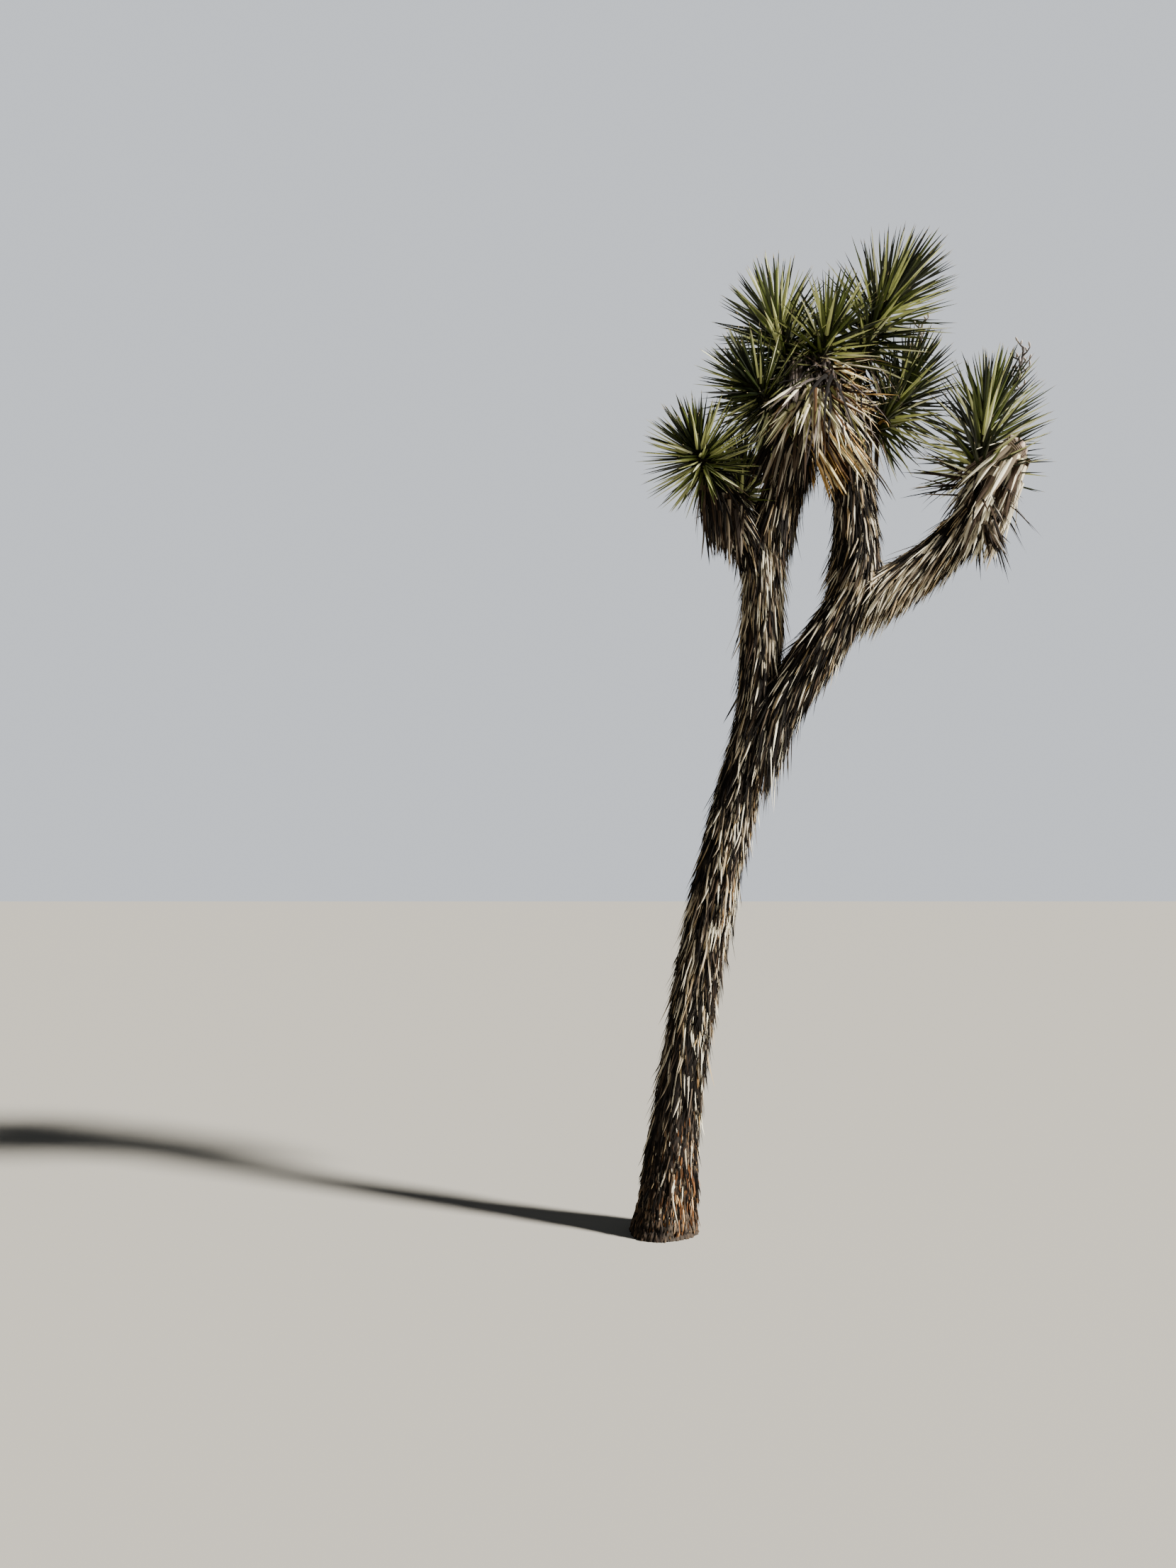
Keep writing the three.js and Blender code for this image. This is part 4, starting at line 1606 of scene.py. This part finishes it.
SWATHES = {
    STRAW: (
        Swathe(
            "swept_straw", (0.690, -0.165, 3.665), (0.655, -0.100, 3.500),
            (0.72, 0.34, -0.60), (0.56, 0.34, -0.74), 120, 0.27,
            run=0.17, jitter=0.12, sag=(0.02, 0.02, -0.16), broad=1.4,
        ),
        Swathe(
            "crotch_tuft", (0.675, -0.010, 3.430), (0.690, 0.030, 3.420),
            (0.25, -0.10, -0.95), (0.10, 0.0, -1.0), 12, 0.11,
        ),
    ),
    # The skirt under the middle heads, partly darkened with painted shade
    FADED_AND_SHADED: (
        Swathe(
            "faded_skirt", (0.585, -0.020, 3.895), (0.750, -0.065, 3.880),
            (-0.16, -0.72, -0.66), (0.02, -0.70, -0.68), 140, 0.24,
            run=0.07, jitter=0.09, sag=(0.0, 0.10, -0.50), broad=0.85,
        ),
    ),
    DUSK: (
        Swathe(
            "arm_beard", (0.190, -0.070, 3.290), (0.370, -0.040, 3.200),
            (0.12, 0.04, -0.99), (-0.04, 0.04, -1.0), 110, 0.21,
            run=0.10, scatter=0.024, jitter=0.12, sag=(0.0, 0.02, -0.02), broad=0.8,
        ),
        Swathe(
            "arm_beard_back", (0.200, 0.040, 3.280), (0.370, 0.090, 3.190),
            (0.12, -0.04, -0.99), (-0.04, -0.04, -1.0), 80, 0.21,
            run=0.10, scatter=0.030, jitter=0.12, sag=(0.0, -0.02, -0.02), broad=0.8,
        ),
        Swathe(
            "brown_fall", (0.660, -0.150, 3.640), (0.510, -0.080, 3.560),
            (-0.12, 0.06, -0.98), (-0.42, 0.08, -0.90), 95, 0.25,
            run=0.16, jitter=0.12, sag=(0.0, 0.05, -0.05), broad=1.1,
        ),
        Swathe(
            "foot_spikes", (1.310, -0.090, 3.230), (1.360, -0.070, 3.370),
            (-0.97, 0.0, -0.12), (-0.78, 0.0, 0.40), 17, 0.22,
            jitter=0.24, sag=(0.0, 0.0, -0.06), broad=0.7,
        ),
        Swathe(
            "loose_leaf", (0.965, -0.020, 3.385), (0.970, 0.020, 3.385),
            (0.75, -0.10, -0.62), (0.60, 0.10, -0.75), 3, 0.15,
            broad=0.6,
        ),
        Swathe(
            "dark_husk", (1.408, -0.205, 3.072), (1.440, -0.180, 3.064),
            (0.20, -0.06, -0.97), (0.40, 0.06, -0.91), 24, 0.115,
            jitter=0.26, sag=(0.15, 0.0, -0.10), broad=1.1,
        ),
    ),
    SALLOW: (
        Swathe(
            "pale_bunch_left", (0.610, -0.130, 3.680), (0.670, -0.190, 3.650),
            (-0.85, -0.15, -0.45), (-0.20, -0.25, -0.92), 52, 0.22,
            scatter=0.038, jitter=0.34, sag=(0.0, 0.04, -0.14), curl=0.18,
        ),
        Swathe(
            "pale_bunch_right", (0.670, -0.190, 3.650), (0.750, -0.170, 3.670),
            (0.05, -0.20, -0.95), (0.80, -0.05, -0.50), 38, 0.22,
            scatter=0.038, jitter=0.34, sag=(0.0, 0.06, -0.14), curl=0.18, broad=1.05,
        ),
    ),
    IVORY: (
        Swathe(
            "end_fall", (1.570, -0.178, 3.385), (1.635, -0.095, 3.375),
            (-0.44, -0.05, -0.90), (-0.36, 0.02, -0.94), 36, 0.25,
            run=0.06, jitter=0.10, sag=(-0.10, 0.02, 0.0), curl=0.12, broad=1.6,
        ),
        Swathe(
            "end_fall_middle", (1.465, -0.205, 3.350), (1.600, -0.100, 3.270),
            (-0.46, 0.0, -0.89), (-0.34, 0.02, -0.94), 64, 0.24,
            run=0.12, jitter=0.12, sag=(-0.06, 0.02, -0.04), curl=0.12, broad=1.5,
        ),
        Swathe(
            "end_fall_low", (1.400, -0.195, 3.200), (1.525, -0.110, 3.150),
            (-0.46, 0.0, -0.89), (-0.30, 0.02, -0.95), 40, 0.22,
            run=0.06, jitter=0.12, sag=(0.02, 0.02, -0.10), broad=1.2,
        ),
    ),
    CREAM: (
        Swathe(
            "tangled_straw", (0.755, -0.085, 3.840), (0.870, 0.000, 3.670),
            (0.80, 0.02, -0.50), (0.88, 0.05, -0.40), 84, 0.19,
            scatter=0.045, jitter=0.85, sag=(0.0, 0.0, 0.0), curl=0.42, broad=0.85,
        ),
    ),
}


@dataclass(frozen=True)
class Stalk:
    """A dry flower stalk beside a head's tip, with pods on its side twigs."""

    name: str
    on: str
    at: float
    run: Point
    bow: Point
    thick: tuple[float, float]
    bare: float
    twigs: int
    twig_long: tuple[float, float]

    RINGS = 14
    SIDES = 7
    TWIG = (0.0044, 0.0038, 0.0030)
    TWIG_SIDES = 5
    TWIG_RISE = 0.5
    TWIG_BOW = (0, 0, -0.004)
    POD = (0.0024, 0.0042, 0.0052, 0.0050, 0.0040, 0.0015)
    POD_SIDES = 6
    POD_LONG = 0.026
    POD_LEAN = 0.4
    POD_TURN = 5
    POD_SHARES = (0.55, 1.0)

    def build(self, heads: dict[str, Head]) -> bpy.types.Object:
        """Builds the stalk on its head.

        Args:
            heads: The heads by name.

        Returns:
            The stalk as one piece.
        """
        foot = heads[self.on].curve.points(self.at)
        curve = Centreline(foot, foot + np.array(self.run), self.bow)
        shell = Shell()
        shell.add(curve, tuple(np.linspace(*self.thick, self.RINGS)), self.SIDES)
        for index in range(self.twigs):
            height, turn = index / (self.twigs - 1), index * GOLDEN_TURN
            root = curve.points(self.bare + (1 - self.bare) * height)
            reach = np.array((math.cos(turn), math.sin(turn), self.TWIG_RISE))
            long = self.twig_long[0] + (self.twig_long[1] - self.twig_long[0]) * height
            for share in self.POD_SHARES:
                end, round_at = root + reach * long * share, turn + self.POD_TURN * share
                lean = np.array((self.POD_LEAN * math.cos(round_at), self.POD_LEAN * math.sin(round_at), 1.0))
                tip = end + lean / np.linalg.norm(lean) * self.POD_LONG * (0.75 + 0.25 * share)
                shell.add(Centreline(end, tip, (0, 0, 0)), self.POD, self.POD_SIDES, 1)
            shell.add(Centreline(root, end, self.TWIG_BOW), self.TWIG, self.TWIG_SIDES)
        return shell.piece(self.name, STALK_SHADE, POD_SHADE)


STALKS = (
    Stalk(
        "flower_stalk", "head_far_right", 0.72, (0.185, -0.020, 0.375), (0.030, 0.0, -0.020),
        (0.0095, 0.0056), 0.52, 13, (0.058, 0.041),
    ),
    Stalk(
        "small_stalk", "head_right", 0.85, (0.060, -0.120, 0.270), (0.010, 0.0, 0.0),
        (0.0060, 0.0030), 0.5, 6, (0.040, 0.026),
    ),
)


# Studio


@dataclass(frozen=True)
class Studio:
    """A plain pale floor, soft studio light and the photograph's point of view."""

    camera_at: Point = (-0.328, -5.23, 1.55)
    camera_pitch: float = 4.34
    lens: float = 27.0
    film: float = 36.0
    floor_reach: float = 60.0
    floor_level: float = -0.001
    key_from: Point = (6.1, -2.5, 5.2)
    key_colour: Point = (1.0, 0.965, 0.91)
    key_power: float = 15.5
    key_soft: float = 6.5
    air_colour: tuple[float, float, float, float] = (0.80, 0.84, 0.90, 1.0)
    air_light: float = 0.12
    air_look: float = 1.0

    def build(self) -> None:
        """Makes the floor, the lights and the camera."""
        far = self.floor_reach
        corners = [(-far, -far, 0), (far, -far, 0), (far, far, 0), (-far, far, 0)]
        floor = cast("floor", corners, [[0, 1, 2, 3]], Shade("studio_floor", "#9a978f"))
        floor.location.z = self.floor_level
        self.sun()
        bpy.context.scene.world = self.air()
        data = bpy.data.cameras.new("camera")
        data.lens = self.lens
        data.sensor_width = self.film
        camera = placed("camera", data)
        camera.location = self.camera_at
        camera.rotation_euler = (math.radians(90 + self.camera_pitch), 0.0, 0.0)
        bpy.context.scene.camera = camera

    def air(self) -> bpy.types.World:
        """Makes the pale backdrop, which lights the tree less than it shows.

        Returns:
            The backdrop.
        """
        world = bpy.data.worlds.new("studio_air")
        world.use_nodes = True
        bench = Bench(world.node_tree)
        seen = bench.value("ShaderNodeLightPath", output="Is Camera Ray")
        span = {"Value": seen, "To Min": self.air_light, "To Max": self.air_look}
        strength = bench.value("ShaderNodeMapRange", span)
        bench.feed(world.node_tree.nodes["Background"], {"Color": self.air_colour, "Strength": strength})
        return world

    def sun(self) -> None:
        """Hangs the soft key light, high on the right and a little to the front."""
        data = bpy.data.lights.new("key", "SUN")
        data.angle = math.radians(self.key_soft)
        data.energy = self.key_power
        data.color = self.key_colour
        lamp = placed("key", data)
        lamp.location = self.key_from
        lamp.rotation_euler = (-Vector(self.key_from)).to_track_quat("-Z", "Y").to_euler()


# Assembly


def settle(piece: bpy.types.Object, slot: Slot, *nodes: str) -> None:
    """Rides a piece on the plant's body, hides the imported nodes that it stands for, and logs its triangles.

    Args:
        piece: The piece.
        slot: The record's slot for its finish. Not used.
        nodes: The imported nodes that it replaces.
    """
    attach(piece, BODY)
    if nodes:
        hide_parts(*nodes)
    piece.data.calc_loop_triangles()
    LOG.info("%s: %d triangles", piece.name, len(piece.data.loop_triangles))


def dress_limbs() -> dict[str, Limb]:
    """Builds every limb's core and coat, and the trunk's flakes of bark.

    Returns:
        The limbs by name.
    """
    thatch, straw = Coat("thatch", THATCH), Coat("sunny_straw", PAINTED_SUNLIGHT_GILT)
    flakes, sunny_flakes = Coat("flakes", FLAKES), Coat("sunny_flakes", PAINTED_SUNLIGHT_RUSSET)
    strand, flake = STRAND.mesh(), FLAKE.mesh()
    limbs: dict[str, Limb] = {}
    for place, limb in enumerate(LIMBS):
        limb.grow(limbs)
        limbs[limb.name] = limb
        is_trunk = not limb.carrier
        core = limb.core(FOOT_BARK if is_trunk else PITH, SEED + CORE_STEP * place)
        reach = (limb.density, limb.short, limb.long, limb.stray, limb.sway, limb.curl)
        sizes = Hanging(core, *reach, seed=SEED + place)
        coat = thatch.grow(f"{limb.name}_thatch", strand, sizes)
        # A second, golden coat on the +X side: painted sunlight
        if limb.sunny:
            painted_sunlight_straws = replace(sizes, density=limb.sunny, lift=0.11, seed=PAINTED_SUNLIGHT_STRAW_SEED)
            settle(straw.grow(f"{limb.name}_sunny_straw", strand, painted_sunlight_straws), Slot.THATCH)
        if is_trunk:
            reach = (9500.0, 0.090, 0.090, 0.35, 0.14, 0.06)
            plates = Hanging(core, *reach, seed=sizes.seed, lift=0.07, gravity=0.1, sunk=-0.003)
            settle(flakes.grow(f"{limb.name}_flakes", flake, plates), Slot.BARK)
            # Orange-brown flakes on the foot's +X side: painted sunlight
            painted_sunlight_plates = replace(plates, density=5200.0, short=0.075, long=0.075, lift=0.11, seed=PAINTED_SUNLIGHT_FLAKE_SEED)
            settle(sunny_flakes.grow(f"{limb.name}_sunny_flakes", flake, painted_sunlight_plates), Slot.BARK)
        settle(core, Slot.BARK if is_trunk else Slot.THATCH, limb.name)
        settle(coat, Slot.THATCH)
    return limbs


def dress_heads(limbs: dict[str, Limb]) -> None:
    """Grows every head's leaves, collar and stem, the dead masses and the flower stalks.

    Args:
        limbs: The limbs by name.
    """
    green, painted_lit_green = Rosette("green_spiral", GREEN), Rosette("lit_green_spiral", PAINTED_LIT_GREEN)
    cream, dusk = Rosette("cream_spiral", CREAM), Rosette("dusk_spiral", DUSK)
    faded_and_shaded, ivory = Rosette("faded_spiral", FADED_AND_SHADED), Rosette("ivory_spiral", IVORY)
    dagger, withered = DAGGER.mesh(), WITHERED.mesh()
    heads: dict[str, Head] = {}
    for place, head in enumerate(HEADS):
        head.grow(limbs)
        heads[head.name] = head
        spiral = painted_lit_green if head.name in PAINTED_LIT_HEADS else green
        collar = cream if head.name in PALE_COLLARS else dusk
        leaves = spiral.grow(f"{head.name}_leaves", dagger, head.green(SEED + place))
        settle(leaves, Slot.LEAF, head.name)
        dead = collar.grow(f"{head.name}_dead_leaves", withered, head.collar(COLLAR_SEED + place))
        settle(dead, Slot.DEAD_LEAF)
        settle(head.stem(STEM_FINISH), Slot.LEAF)
    for spray, spiral, finish in ((HANGING_SKIRT, faded_and_shaded, PITH), (DEAD_END, ivory, CAP_FINISH)):
        spray.grow(limbs)
        leaves = spiral.grow(f"{spray.name}_leaves", withered, spray.hanging(SPRAY_SEED))
        settle(leaves, Slot.DEAD_LEAF, spray.name)
        settle(spray.stem(finish), Slot.THATCH)
    for stalk in STALKS:
        settle(stalk.build(heads), Slot.DEAD_LEAF)


def strew_straws() -> None:
    """Lays the loose dead leaves over the joints and under the heads."""
    withered = WITHERED.mesh()
    for place, (palette, swathes) in enumerate(SWATHES.items()):
        drift = Drift(f"drift_{place}", palette)
        for row, swathe in enumerate(swathes):
            sizes = replace(swathe, seed=SWATHE_SEED + SWATHE_STEP * place + row)
            settle(drift.grow(swathe.name, withered, sizes), Slot.DEAD_LEAF)


def main() -> None:
    """Builds the tree's pieces in order, then the studio."""
    logging.basicConfig(level=logging.INFO, format="%(name)s: %(message)s")
    limbs = dress_limbs()
    dress_heads(limbs)
    strew_straws()
    Studio().build()


if __name__ == "__main__":
    main()
